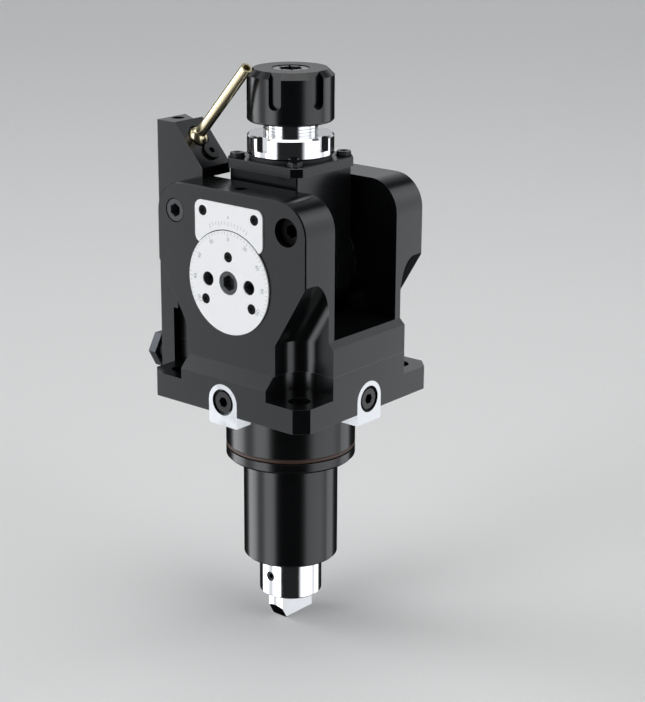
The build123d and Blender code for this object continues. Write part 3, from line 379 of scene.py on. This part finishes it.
def black_coated_steel(name, colour, grain_mm, rough=0.21, wear_highlight_amount=0.5, gloss=0.5):
    """Phosphated and oiled steel: near black and satin, with a fine even grain, softer oily
    patches, and outer edges lighter and metallic: rubbed wear and a painted edge highlight."""
    mat, tree, where = blank_material(name)
    grain = put(
        tree,
        "ShaderNodeTexNoise",
        {"Vector": where, "Scale": 1 / (grain_mm * MM), "Detail": 3.0},
    )
    patch = put(tree, "ShaderNodeTexNoise", {"Vector": where, "Scale": 1 / (18 * MM), "Detail": 2.0})
    tone = put(
        tree,
        "ShaderNodeMix",
        {"Factor": patch.outputs["Fac"], "A": linear(colour), "B": linear(colour, 1.5)},
        data_type="RGBA",
    )
    # Outer edges go lighter grey and metallic: rubbed wear, and a painted edge highlight.
    edge_mask = edge_wear(tree, 0.3)
    wear_highlight_share = put(tree, "ShaderNodeMath", {0: edge_mask.outputs[0], 1: wear_highlight_amount}, operation="MULTIPLY")
    wear_highlight_tone = put(
        tree,
        "ShaderNodeMix",
        {"Factor": wear_highlight_share.outputs[0], "A": tone.outputs["Result"], "B": linear("#6f7275")},
        data_type="RGBA",
    )
    sheen = put(
        tree,
        "ShaderNodeMapRange",
        {
            "Value": grain.outputs["Fac"],
            "From Min": 0.3,
            "From Max": 0.7,
            "To Min": rough - 0.03,
            "To Max": rough + 0.05,
        },
    )
    relief = put(
        tree,
        "ShaderNodeBump",
        {"Height": grain.outputs["Fac"], "Strength": 0.08, "Distance": 0.02 * MM},
    )
    shader = put(
        tree,
        "ShaderNodeBsdfPrincipled",
        {
            "Base Color": wear_highlight_tone.outputs["Result"],
            "Specular IOR Level": gloss,
            "Metallic": wear_highlight_share.outputs[0],
            "Roughness": sheen.outputs["Result"],
            "Normal": relief.outputs["Normal"],
        },
    )
    close_material(tree, shader)
    return mat


def turned_metal(name, colour, rough, line_mm, depth_mm):
    """Turned or ground metal: bright, with fine tool lines that run round the axis."""
    mat, tree, where = blank_material(name)
    lines = put(
        tree,
        "ShaderNodeTexWave",
        {"Vector": where, "Scale": 1 / (line_mm * MM) / math.tau, "Distortion": 0.6, "Detail": 2.0},
        bands_direction="Z",
    )
    cloud = put(tree, "ShaderNodeTexNoise", {"Vector": where, "Scale": 1 / (6 * MM), "Detail": 3.0})
    sheen = put(
        tree,
        "ShaderNodeMapRange",
        {
            "Value": cloud.outputs["Fac"],
            "From Min": 0.3,
            "From Max": 0.7,
            "To Min": rough * 0.8,
            "To Max": rough * 1.25,
        },
    )
    relief = put(
        tree,
        "ShaderNodeBump",
        {"Height": lines.outputs["Fac"], "Strength": 0.15, "Distance": depth_mm * MM},
    )
    shader = put(
        tree,
        "ShaderNodeBsdfPrincipled",
        {
            "Base Color": linear(colour),
            "Metallic": 1.0,
            "Roughness": sheen.outputs["Result"],
            "Normal": relief.outputs["Normal"],
        },
    )
    close_material(tree, shader)
    return mat


def enamelled_plate(name, colour):
    """Baked enamel on a steel plate: even white with a slight orange peel."""
    mat, tree, where = blank_material(name)
    peel = put(tree, "ShaderNodeTexNoise", {"Vector": where, "Scale": 1 / (0.8 * MM), "Detail": 2.0})
    relief = put(
        tree,
        "ShaderNodeBump",
        {"Height": peel.outputs["Fac"], "Strength": 0.05, "Distance": 0.02 * MM},
    )
    shader = put(
        tree,
        "ShaderNodeBsdfPrincipled",
        {"Base Color": linear(colour), "Roughness": 0.38, "Normal": relief.outputs["Normal"]},
    )
    close_material(tree, shader)
    return mat


def moulded_rubber(name, colour, rough):
    """Moulded rubber: matt, slightly dusty, with a fine skin."""
    mat, tree, where = blank_material(name)
    skin = put(tree, "ShaderNodeTexNoise", {"Vector": where, "Scale": 1 / (0.5 * MM), "Detail": 3.0})
    tone = put(
        tree,
        "ShaderNodeMix",
        {"Factor": skin.outputs["Fac"], "A": linear(colour), "B": linear(colour, 1.4)},
        data_type="RGBA",
    )
    relief = put(
        tree,
        "ShaderNodeBump",
        {"Height": skin.outputs["Fac"], "Strength": 0.2, "Distance": 0.03 * MM},
    )
    shader = put(
        tree,
        "ShaderNodeBsdfPrincipled",
        {"Base Color": tone.outputs["Result"], "Roughness": rough, "Normal": relief.outputs["Normal"]},
    )
    close_material(tree, shader)
    return mat


def floor_paint(name, colour):
    """Matt studio floor paint with a faint roller texture."""
    mat, tree, where = blank_material(name)
    roller = put(tree, "ShaderNodeTexNoise", {"Vector": where, "Scale": 1 / (4 * MM), "Detail": 2.0})
    relief = put(
        tree,
        "ShaderNodeBump",
        {"Height": roller.outputs["Fac"], "Strength": 0.03, "Distance": 0.1 * MM},
    )
    shader = put(
        tree,
        "ShaderNodeBsdfPrincipled",
        {"Base Color": linear(colour), "Roughness": 0.75, "Normal": relief.outputs["Normal"]},
    )
    close_material(tree, shader)
    return mat


finishes = {}


class HOLDER_OT_finishes(bpy.types.Operator):
    """Give every CAD node its procedural finish"""

    bl_idname = "holder.finishes"
    bl_label = "Apply Finishes"

    def execute(self, context):
        look = context.scene.holder_finish
        finishes["coated"] = black_coated_steel("black_phosphated_steel", look.coating, look.grain_mm)
        finishes["oxide"] = black_coated_steel(
            "black_oxide_steel",
            look.oxide,
            look.grain_mm * 0.6,
            0.20,
        )
        finishes["screw"] = black_coated_steel("black_oxide_screw_steel", "#070808", 0.2, 0.24, 0.12)
        # A darker, less glossy black for heads and a plug that sit in shaded holes: painted shade.
        finishes["dull"] = black_coated_steel("dull_black_oxide_steel", "#050505", 0.2, 0.5, 0.1, 0.08)
        finishes["burnished"] = black_coated_steel("burnished_screw_steel", "#2c2e30", 0.2, 0.28, 0.6)
        finishes["polished"] = turned_metal("polished_turned_steel", look.steel, 0.10, 0.25, 0.002)
        finishes["ground"] = turned_metal("ground_steel", "#d3d5d7", 0.26, 0.2, 0.003)
        finishes["zinc"] = turned_metal("dark_zinc_plated_steel", "#55575a", 0.38, 0.4, 0.003)
        finishes["gear"] = turned_metal("case_hardened_gear_steel", "#8d8f92", 0.33, 0.3, 0.003)
        finishes["bearing"] = turned_metal("polished_bearing_steel", "#cfd1d4", 0.1, 0.3, 0.001)
        finishes["brass"] = turned_metal("turned_brass", look.brass, 0.24, 0.3, 0.003)
        finishes["plate"] = enamelled_plate("white_enamelled_plate", look.plate)
        finishes["ink"] = enamelled_plate("grey_filled_engraving", "#a2a5a8")
        finishes["o_ring"] = moulded_rubber("brown_fluoro_rubber", "#3c281c", 0.5)
        finishes["seal"] = moulded_rubber("black_nitrile_rubber", "#1a1a1b", 0.6)
        wears = {
            "black_body": "coated",
            "black_oxide": "oxide",
            "black_screws": "screw",
            "o_ring_rubber": "o_ring",
            "seal_rubber": "seal",
            "ground_steel": "ground",
            "grey_steel": "zinc",
            "polished_steel": "polished",
            "gear_steel": "gear",
            "bearing_steel": "bearing",
            "white_plate": "plate",
            "brass": "brass",
        }
        for part in frame["record"]["subparts"]:
            dress(part["node"], finishes[wears[part["material_slot"]]])
        # Painted shade: the sunk port plug is made near black to stand for its shaded hole.
        dress("sunk_port_plug", finishes["dull"])
        dress("gallery_plug", finishes["burnished"])
        return {"FINISHED"}


# Thread of the spindle nose


class HOLDER_OT_thread(bpy.types.Operator):
    """Wind the thread crests round the spindle nose"""

    bl_idname = "holder.thread"
    bl_label = "Wind Thread"

    def execute(self, context):
        size = context.scene.holder_thread
        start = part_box("collet_nut")[0].z - THREAD_BELOW_NUT
        tree, given = node_tree(
            "thread_crests",
            [
                ("Turns", "NodeSocketFloat", THREAD_TURNS),
                ("Pitch", "NodeSocketFloat", size.pitch),
                ("Root Radius", "NodeSocketFloat", size.crest - THREAD_DEPTH),
                ("Depth", "NodeSocketFloat", THREAD_DEPTH),
                ("Start Height", "NodeSocketFloat", start),
            ],
        )
        rise = put(tree, "ShaderNodeMath", {0: given["Turns"], 1: given["Pitch"]}, operation="MULTIPLY")
        helix = put(
            tree,
            "GeometryNodeCurveSpiral",
            {
                "Resolution": 96,
                "Rotations": given["Turns"],
                "Start Radius": given["Root Radius"],
                "End Radius": given["Root Radius"],
                "Height": rise.outputs[0],
            },
        )
        level = put(tree, "GeometryNodeSetCurveNormal", {"Curve": helix.outputs[0]}, mode="Z_UP")
        base = put(tree, "ShaderNodeMath", {0: given["Pitch"], 1: 0.98}, operation="MULTIPLY")
        tip = put(tree, "ShaderNodeMath", {0: given["Pitch"], 1: 0.2}, operation="MULTIPLY")
        tooth = put(
            tree,
            "GeometryNodeCurvePrimitiveQuadrilateral",
            {
                "Height": given["Depth"],
                "Bottom Width": base.outputs[0],
                "Top Width": tip.outputs[0],
                "Offset": 0.0,
            },
            mode="TRAPEZOID",
        )
        turned = put(
            tree,
            "GeometryNodeTransform",
            {"Geometry": tooth.outputs[0], "Rotation": (0.0, 0.0, math.pi / 2)},
        )
        ridge = put(
            tree,
            "GeometryNodeCurveToMesh",
            {"Curve": level.outputs[0], "Profile Curve": turned.outputs[0], "Fill Caps": True},
        )
        lift = put(tree, "ShaderNodeCombineXYZ", {"Z": given["Start Height"]})
        place = put(
            tree, "GeometryNodeTransform", {"Geometry": ridge.outputs[0], "Translation": lift.outputs[0]}
        )
        finish_tree(tree, place.outputs[0], finishes["polished"])
        piece = baked("spindle_thread", carry("thread_carrier", tree, {}))
        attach(piece, "spindle")
        return {"FINISHED"}


# Knurled rims of the socket cap screws


def loose_solids(node):
    """The corner points of each separate solid of a CAD node, read from a merged copy."""
    bm = bmesh.new()
    bm.from_mesh(nodes[node].data)
    bmesh.ops.remove_doubles(bm, verts=bm.verts, dist=0.001 * MM)
    left = set(bm.verts)
    for seed in bm.verts:
        if seed not in left:
            continue
        left.remove(seed)
        island, front = [], [seed]
        while front:
            vert = front.pop()
            island.append(vert)
            for edge in vert.link_edges:
                other = edge.other_vert(vert)
                if other in left:
                    left.remove(other)
                    front.append(other)
        yield np.array([v.co[:] for v in island])
    bm.free()


def head_of(corners):
    """A screw's axis, the middle of its head's face, and the head's radius and height."""
    low, high = corners.min(axis=0), corners.max(axis=0)
    along = int(np.argmax(high - low))
    middle = (low + high) / 2
    reach = np.linalg.norm(np.delete(corners - middle, along, axis=1), axis=1)
    radius = reach.max()
    rim = corners[reach > 0.95 * radius, along]
    sense = 1.0 if rim.mean() > middle[along] else -1.0
    face = middle.copy()
    face[along] = high[along] if sense > 0 else low[along]
    axis = np.zeros(3)
    axis[along] = sense
    return face, axis, float(radius), float(np.ptp(rim))


def knurl_tree():
    """Fine straight ridges round a screw head, on every point along its axis attribute."""
    tree, given = node_tree(
        "knurled_heads",
        [
            ("Ridges", "NodeSocketInt", RIDGES),
            ("Radius", "NodeSocketFloat", None),
            ("Height", "NodeSocketFloat", None),
            ("Ridge Width", "NodeSocketFloat", None),
        ],
    )
    rim = put(tree, "GeometryNodeMeshCircle", {"Vertices": given["Ridges"], "Radius": given["Radius"]})
    half = put(tree, "ShaderNodeMath", {0: given["Ridge Width"], 1: 0.5}, operation="MULTIPLY")
    tall = put(tree, "ShaderNodeMath", {0: given["Height"], 1: RIDGE_LENGTH_SHARE}, operation="MULTIPLY")
    ridge = put(
        tree,
        "GeometryNodeMeshCylinder",
        {"Vertices": 6, "Radius": half.outputs[0], "Depth": tall.outputs[0]},
    )
    ring = put(
        tree,
        "GeometryNodeInstanceOnPoints",
        {"Points": rim.outputs[0], "Instance": ridge.outputs[0]},
    )
    drop = put(tree, "ShaderNodeMath", {0: given["Height"], 1: -0.5}, operation="MULTIPLY")
    down = put(tree, "ShaderNodeCombineXYZ", {"Z": drop.outputs[0]})
    sunk = put(
        tree,
        "GeometryNodeTransform",
        {"Geometry": ring.outputs[0], "Translation": down.outputs[0]},
    )
    way = put(tree, "GeometryNodeInputNamedAttribute", {"Name": "axis"}, data_type="FLOAT_VECTOR")
    turn = put(tree, "FunctionNodeAlignRotationToVector", {"Vector": way.outputs["Attribute"]}, axis="Z")
    heads = put(
        tree,
        "GeometryNodeInstanceOnPoints",
        {"Points": given["Geometry"], "Instance": sunk.outputs[0], "Rotation": turn.outputs[0]},
    )
    finish_tree(tree, heads.outputs[0], finishes["screw"])
    return tree


class HOLDER_OT_knurls(bpy.types.Operator):
    """Knurl the heads of the socket cap screws"""

    bl_idname = "holder.knurls"
    bl_label = "Knurl Screw Heads"

    def execute(self, context):
        tree = knurl_tree()
        screws = (("key_screws", "housing"), ("cover_screws", "head"), ("coolant_bar_screws", "housing"))
        for node, body in screws:
            sizes = {}
            for corners in loose_solids(node):
                face, axis, radius, height = head_of(corners)
                sizes.setdefault((round(radius, 5), round(height, 5)), []).append((face, axis))
            for (radius, height), heads in sizes.items():
                heads.sort(key=lambda head: tuple(head[0].round(5)))
                carrier = carry(
                    node + "_carrier",
                    tree,
                    {"Radius": radius, "Height": height, "Ridge Width": radius * RIDGE_WIDTH_SHARE},
                    [face for face, axis in heads],
                    [axis for face, axis in heads],
                )
                piece = baked(node + "_knurls", carrier)
                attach(piece, body)
        return {"FINISHED"}


# White plates with their flush screws


def ring_points(x, z, radius, count=96, first=0.0, sweep=2 * math.pi):
    """Points round a circle or along an arc of it."""
    return [
        (
            x + radius * math.cos(first + sweep * i / count),
            z + radius * math.sin(first + sweep * i / count),
        )
        for i in range(count)
    ]


def flat_solid(whole, loops, front, back):
    """Add a flat plate that faces the dial side, cut out between closed loops, to a bmesh."""
    curve = bpy.data.curves.new("plate_outline", "CURVE")
    curve.dimensions = "2D"
    curve.fill_mode = "BOTH"
    curve.extrude = (back - front) / 2
    for loop in loops:
        spline = curve.splines.new("POLY")
        spline.points.add(len(loop) - 1)
        spline.points.foreach_set("co", [value for x, z in loop for value in (x, z, 0.0, 1.0)])
        spline.use_cyclic_u = True
    mesh = evaluated_mesh(link("plate_outline", curve))
    for v in mesh.vertices:
        v.co = (v.co.x, (front + back) / 2 - v.co.z, v.co.y)
    whole.from_mesh(mesh)
    bpy.data.meshes.remove(mesh)


def flush_head(whole, x, z, face, radius, socket, depth):
    """A flat screw head with a hexagon socket, and a floor half as thick under it."""
    hexagon = ring_points(x, z, socket / math.sqrt(3), 6, math.pi / 6)
    flat_solid(whole, [ring_points(x, z, radius, 48), hexagon], face, face + depth)
    flat_solid(whole, [ring_points(x, z, radius, 48)], face + depth, face + 1.5 * depth)


def screw_spots(node):
    """The middle of each screw of a node, as x and z, in order."""
    boxes = [(corners.min(axis=0), corners.max(axis=0)) for corners in loose_solids(node)]
    return sorted((float(a[0] + b[0]) / 2, float(a[2] + b[2]) / 2) for a, b in boxes)


def small_heads(name, spots, face, radius):
    """The flush heads of a plate's small screws, as one piece."""
    heads = bmesh.new()
    for x, z in spots:
        flush_head(heads, x, z, face + SMALL_SUNK, radius, SMALL_SOCKET, SMALL_DEPTH)
    # The small heads take the painted-shade black, for the shade in their holes.
    return solid_object(name, heads, finishes["dull"])


def index_outline(low, high, corner, gap):
    """A rectangle with round corners whose foot follows a circle round the pivot."""
    rim = []
    for x, z, first in (
        (high.x - corner, low.z + corner, -math.pi / 2),
        (high.x - corner, high.z - corner, 0.0),
        (low.x + corner, high.z - corner, math.pi / 2),
        (low.x + corner, low.z + corner, math.pi),
    ):
        rim += ring_points(x, z, corner, 24, first, math.pi / 2)
    rim = [(x, z) for x, z in rim if math.hypot(x, z - PIVOT_Z) > gap]
    start = math.atan2(rim[-1][1] - PIVOT_Z, rim[-1][0])
    end = math.atan2(rim[0][1] - PIVOT_Z, rim[0][0])
    return rim + ring_points(0.0, PIVOT_Z, gap, 48, start, end - start)


class HOLDER_OT_plates(bpy.types.Operator):
    """Fit the thin dial and index plate with their flush screws"""

    bl_idname = "holder.plates"
    bl_label = "Fit Plates"

    def execute(self, context):
        size = context.scene.holder_plate
        dial_face = DIAL_BACK - size.thickness
        index_face = INDEX_BACK - size.thickness
        dial_spots = screw_spots("dial_screws")
        index_spots = screw_spots("index_plate_screws")
        access = [x for x, z in screw_spots("front_trunnion_screws")]
        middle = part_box("dial_centre_screw")
        centre_radius = (middle[1].x - middle[0].x) / 2 + CENTRE_WIDER

        dial = bmesh.new()
        loops = [
            ring_points(0.0, PIVOT_Z, size.dial_radius, 160),
            ring_points(0.0, PIVOT_Z, centre_radius + CENTRE_GAP),
        ]
        loops += [ring_points(x, z, size.head_radius + SMALL_GAP, 48) for x, z in dial_spots]
        loops += [ring_points(x, PIVOT_Z, size.access_radius, 48) for x in access]
        flat_solid(dial, loops, dial_face, DIAL_BACK)
        piece = solid_object("dial_plate", dial, finishes["plate"])
        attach(piece, "head")
        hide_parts("dial_disc")

        piece = small_heads("dial_screw_heads", dial_spots, dial_face, size.head_radius)
        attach(piece, "head")
        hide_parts("dial_screws")

        head = bmesh.new()
        face = dial_face + CENTRE_SUNK
        flush_head(head, 0.0, PIVOT_Z, face, centre_radius, CENTRE_SOCKET, CENTRE_DEPTH)
        piece = solid_object("dial_centre_head", head, finishes["burnished"])
        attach(piece, "head")
        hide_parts("dial_centre_screw")

        index = bmesh.new()
        low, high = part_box("index_plate")
        low = Vector((low.x, low.y, PIVOT_Z + INDEX_FOOT))
        outline = index_outline(low, high, size.corner, size.dial_radius + INDEX_GAP)
        holes = [ring_points(x, z, size.head_radius + SMALL_GAP, 48) for x, z in index_spots]
        flat_solid(index, [outline] + holes, index_face, INDEX_BACK)
        piece = solid_object("index_plate_skin", index, finishes["plate"])
        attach(piece, "housing")
        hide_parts("index_plate")

        piece = small_heads("index_screw_heads", index_spots, index_face, size.head_radius)
        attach(piece, "housing")
        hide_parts("index_plate_screws")
        return {"FINISHED"}


# Marks and numerals of the dial and the index plate


def mark_tree():
    """Marks on an arc about the pivot: a short bar for each, and a longer one at every numeral."""
    tree, given = node_tree(
        "arc_marks",
        [
            ("Count", "NodeSocketInt", None),
            ("First Angle", "NodeSocketFloat", None),
            ("Step", "NodeSocketFloat", None),
            ("Inner Radius", "NodeSocketFloat", None),
            ("Short", "NodeSocketFloat", None),
            ("Long", "NodeSocketFloat", None),
            ("Every", "NodeSocketInt", None),
            ("Width", "NodeSocketFloat", MARK_WIDTH),
            ("Face", "NodeSocketFloat", None),
            ("Pivot", "NodeSocketFloat", PIVOT_Z),
        ],
    )
    points = put(tree, "GeometryNodeMeshLine", {"Count": given["Count"]})
    index = put(tree, "GeometryNodeInputIndex")
    turn = put(
        tree,
        "ShaderNodeMath",
        {0: index.outputs[0], 1: given["Step"], 2: given["First Angle"]},
        operation="MULTIPLY_ADD",
    )
    beat = put(tree, "ShaderNodeMath", {0: index.outputs[0], 1: given["Every"]}, operation="MODULO")
    strong = put(
        tree,
        "FunctionNodeCompare",
        {0: beat.outputs[0], 1: 0.5},
        data_type="FLOAT",
        operation="LESS_THAN",
    )
    length = put(
        tree,
        "GeometryNodeSwitch",
        {"Switch": strong.outputs[0], "False": given["Short"], "True": given["Long"]},
        input_type="FLOAT",
    )
    half = put(tree, "ShaderNodeMath", {0: length.outputs[0], 1: 0.5}, operation="MULTIPLY")
    reach = put(
        tree,
        "ShaderNodeMath",
        {0: given["Inner Radius"], 1: half.outputs[0]},
        operation="SUBTRACT",
    )
    sine = put(tree, "ShaderNodeMath", {0: turn.outputs[0]}, operation="SINE")
    cosine = put(tree, "ShaderNodeMath", {0: turn.outputs[0]}, operation="COSINE")
    across = put(tree, "ShaderNodeMath", {0: sine.outputs[0], 1: reach.outputs[0]}, operation="MULTIPLY")
    height = put(
        tree,
        "ShaderNodeMath",
        {0: cosine.outputs[0], 1: reach.outputs[0], 2: given["Pivot"]},
        operation="MULTIPLY_ADD",
    )
    spot = put(
        tree,
        "ShaderNodeCombineXYZ",
        {"X": across.outputs[0], "Y": given["Face"], "Z": height.outputs[0]},
    )
    moved = put(
        tree,
        "GeometryNodeSetPosition",
        {"Geometry": points.outputs[0], "Position": spot.outputs[0]},
    )
    bar = put(tree, "GeometryNodeMeshCube", {"Size": (1.0, MARK_DEPTH, 1.0)})
    angle = put(tree, "ShaderNodeCombineXYZ", {"Y": turn.outputs[0]})
    scale = put(tree, "ShaderNodeCombineXYZ", {"X": given["Width"], "Y": 1.0, "Z": length.outputs[0]})
    bars = put(
        tree,
        "GeometryNodeInstanceOnPoints",
        {
            "Points": moved.outputs[0],
            "Instance": bar.outputs[0],
            "Rotation": angle.outputs[0],
            "Scale": scale.outputs[0],
        },
    )
    finish_tree(tree, bars.outputs[0], finishes["ink"])
    return tree


def numerals(name, words, radius, face, height):
    """Upright engraved numerals round the pivot, as one mesh."""
    whole = bmesh.new()
    for word, turn in words:
        curve = bpy.data.curves.new(name, "FONT")
        curve.body = word
        curve.size = height
        curve.align_x = "CENTER"
        curve.align_y = "CENTER"
        curve.extrude = MARK_DEPTH / 2
        mesh = evaluated_mesh(link(name, curve))
        s, c = math.sin(turn), math.cos(turn)
        for v in mesh.vertices:
            x, z, y = v.co.x, v.co.y, v.co.z
            z += radius
            v.co = (x * c + z * s, face - y, PIVOT_Z - x * s + z * c)
        whole.from_mesh(mesh)
        bpy.data.meshes.remove(mesh)
    return solid_object(name, whole, finishes["ink"])


class HOLDER_OT_dial(bpy.types.Operator):
    """Engrave the degree marks and numerals of the dial and the index plate"""

    bl_idname = "holder.dial"
    bl_label = "Engrave Dial"

    def execute(self, context):
        size = context.scene.holder_dial
        plate = context.scene.holder_plate
        dial_face = DIAL_BACK - plate.thickness
        index_face = INDEX_BACK - plate.thickness
        tree = mark_tree()
        every = round(size.numeral_step / math.degrees(size.tick_step))
        sweep = math.radians(DIAL_SWEEP_DEGREES)
        values = {
            "Count": 2 * round(sweep / size.tick_step) + 1,
            "First Angle": -sweep,
            "Step": size.tick_step,
            "Inner Radius": plate.dial_radius - MARK_INSET,
            "Short": 1.2 * MM,
            "Long": 2.1 * MM,
            "Every": every,
            "Face": dial_face,
        }
        marks = baked("dial_marks", carry("dial_mark_carrier", tree, values))
        turns = range(-DIAL_SWEEP_DEGREES, DIAL_SWEEP_DEGREES + 1, size.numeral_step)
        words = [(str(abs(turn)), math.radians(turn)) for turn in turns]
        digits = numerals("dial_numerals", words, NUMERAL_RADIUS, dial_face, size.numeral_height)
        for piece in (marks, digits):
            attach(piece, "head")
        values = {
            "Count": 13,
            "First Angle": -math.radians(24),
            "Step": math.radians(4),
            "Inner Radius": VERNIER_RADIUS,
            "Short": 1.6 * MM,
            "Long": 2.4 * MM,
            "Every": 3,
            "Face": index_face,
        }
        vernier = baked("index_marks", carry("index_mark_carrier", tree, values))
        zero = numerals("index_numerals", [("0", 0.0)], ZERO_RADIUS, index_face, ZERO_HEIGHT)
        for piece in (vernier, zero):
            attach(piece, "housing")
        return {"FINISHED"}


# Floor, light and camera


def studio_world(azimuth):
    """Tall softboxes round the holder, with black flags between.

    Each row gives the middle and the half width of a softbox, in degrees to the right of the
    camera, and its strength. A softbox is at full strength over SOFTBOX_CORE of its half width.
    The room is dark in front, so that round steel gets its dark band. The light from the sides
    fades out where the view slopes by 34 to 49 degrees, and the camera sees plain grey instead.
    """
    softboxes = [
        (-108, 22, 3.5),
        (-80, 20, 0.9),
        (-53, 20, 3.0),
        (60, 32, 1.9),
        (94, 18, 0.95),
        (115, 16, 1.6),
    ]
    world = bpy.data.worlds.new("studio")
    world.use_nodes = True
    tree = world.node_tree
    tree.nodes.clear()
    ray = put(tree, "ShaderNodeTexCoord")
    turned = put(
        tree,
        "ShaderNodeVectorRotate",
        {"Vector": ray.outputs["Generated"], "Angle": -azimuth},
        rotation_type="Z_AXIS",
    )
    split = put(tree, "ShaderNodeSeparateXYZ", {0: turned.outputs[0]})
    ahead = put(tree, "ShaderNodeMath", {0: split.outputs["Y"], 1: -1.0}, operation="MULTIPLY")
    bearing = put(
        tree,
        "ShaderNodeMath",
        {0: split.outputs["X"], 1: ahead.outputs[0]},
        operation="ARCTAN2",
    )
    total = put(tree, "ShaderNodeValue")
    total.outputs[0].default_value = ROOM_GLOW
    for middle, half, strength in softboxes:
        off = put(
            tree,
            "ShaderNodeMath",
            {0: bearing.outputs[0], 1: math.radians(middle)},
            operation="SUBTRACT",
        )
        near = put(tree, "ShaderNodeMath", {0: off.outputs[0]}, operation="ABSOLUTE")
        glow = put(
            tree,
            "ShaderNodeMapRange",
            {
                "Value": near.outputs[0],
                "From Min": math.radians(half),
                "From Max": math.radians(half * SOFTBOX_CORE),
                "To Max": strength,
            },
            interpolation_type="SMOOTHSTEP",
        )
        total = put(tree, "ShaderNodeMath", {0: total.outputs[0], 1: glow.outputs[0]}, operation="ADD")
    slope = put(tree, "ShaderNodeMath", {0: split.outputs["Z"]}, operation="ABSOLUTE")
    band = put(
        tree,
        "ShaderNodeMapRange",
        {"Value": slope.outputs[0], "From Min": 0.76, "From Max": 0.56, "To Min": 0.1, "To Max": 1.0},
    )
    sides = put(tree, "ShaderNodeMath", {0: total.outputs[0], 1: band.outputs[0]}, operation="MULTIPLY")
    behind = put(
        tree,
        "ShaderNodeMapRange",
        {"Value": split.outputs["Y"], "From Min": 0.6, "From Max": 0.9},
    )
    above = put(
        tree,
        "ShaderNodeMapRange",
        {"Value": split.outputs["Z"], "From Min": 0.05, "From Max": 0.25},
    )
    backdrop = put(
        tree,
        "ShaderNodeMath",
        {0: behind.outputs[0], 1: above.outputs[0]},
        operation="MULTIPLY",
    )
    room = put(
        tree,
        "ShaderNodeMath",
        {0: backdrop.outputs[0], 1: BACKDROP_GLOW, 2: sides.outputs[0]},
        operation="MULTIPLY_ADD",
    )
    lit = put(tree, "ShaderNodeBackground", {"Color": linear("#f6f8fc"), "Strength": room.outputs[0]})
    seen = put(tree, "ShaderNodeBackground", {"Color": linear("#b2b4b5"), "Strength": 1.0})
    path = put(tree, "ShaderNodeLightPath")
    mixed = put(
        tree,
        "ShaderNodeMixShader",
        {0: path.outputs["Is Camera Ray"], 1: lit.outputs[0], 2: seen.outputs[0]},
    )
    put(tree, "ShaderNodeOutputWorld", {"Surface": mixed.outputs[0]})
    return world


class HOLDER_OT_stage(bpy.types.Operator):
    """Pale floor, soft studio lights and the camera"""

    bl_idname = "holder.stage"
    bl_label = "Set Stage"

    def execute(self, context):
        size = context.scene.holder_stage
        bm = bmesh.new()
        bmesh.ops.create_grid(bm, x_segments=2, y_segments=2, size=FLOOR_HALF)
        for v in bm.verts:
            v.co.z = FLOOR_Z
        floor = solid_object("studio_floor", bm, floor_paint("studio_floor_paint", size.floor))
        floor.visible_glossy = False

        aim = Vector((0, 0, size.aim_height))
        a, e = size.azimuth, size.elevation
        back = Vector((math.sin(a) * math.cos(e), -math.cos(a) * math.cos(e), math.sin(e)))
        camera = link("camera", bpy.data.cameras.new("camera"))
        camera.data.lens = FOCAL_PIXELS * SENSOR / PHOTO_TALL
        camera.data.shift_x = (PHOTO_WIDE / 2 - AXIS_X) / PHOTO_TALL
        camera.data.shift_y = (AXIS_Y - PHOTO_TALL / 2) / PHOTO_TALL
        camera.data.clip_start = NEAREST_SEEN
        camera.location = aim + back * size.distance
        camera.rotation_euler = (-back).to_track_quat("-Z", "Y").to_euler()
        context.scene.camera = camera

        lamp = bpy.data.lights.new("top_softbox", "AREA")
        lamp.shape = "RECTANGLE"
        lamp.size = TOP_LIGHT_SIDE
        lamp.size_y = TOP_LIGHT_SIDE
        lamp.energy = size.top_power
        link("top_softbox", lamp).location = aim + Vector((0, 0, TOP_LIGHT_ABOVE))
        context.scene.world = studio_world(size.azimuth)
        context.scene.view_settings.view_transform = "Standard"
        return {"FINISHED"}


# Panel and registration


class HOLDER_PT_panel(bpy.types.Panel):
    """Steps that dress the tool holder"""

    bl_idname = "HOLDER_PT_panel"
    bl_label = "Tool Holder"
    bl_space_type = "VIEW_3D"
    bl_region_type = "UI"
    bl_category = "Holder"

    def draw(self, context):
        for step in classes[len(groups) : -1]:
            self.layout.operator(step.bl_idname)
        for group in groups:
            settings = getattr(context.scene, group)
            for name in settings.__annotations__:
                self.layout.prop(settings, name)


groups = {
    "holder_finish": FinishSettings,
    "holder_thread": ThreadSettings,
    "holder_plate": PlateSettings,
    "holder_dial": DialSettings,
    "holder_stage": StageSettings,
}
classes = tuple(groups.values()) + (
    HOLDER_OT_finishes,
    HOLDER_OT_thread,
    HOLDER_OT_knurls,
    HOLDER_OT_plates,
    HOLDER_OT_dial,
    HOLDER_OT_stage,
    HOLDER_PT_panel,
)


def register():
    for cls in classes:
        bpy.utils.register_class(cls)
    for name, group in groups.items():
        setattr(bpy.types.Scene, name, bpy.props.PointerProperty(type=group))


def unregister():
    for name in groups:
        delattr(bpy.types.Scene, name)
    for cls in reversed(classes):
        bpy.utils.unregister_class(cls)


def main():
    register()
    bpy.ops.holder.finishes()
    bpy.ops.holder.thread()
    bpy.ops.holder.knurls()
    bpy.ops.holder.plates()
    bpy.ops.holder.dial()
    bpy.ops.holder.stage()


if __name__ == "__main__":
    main()
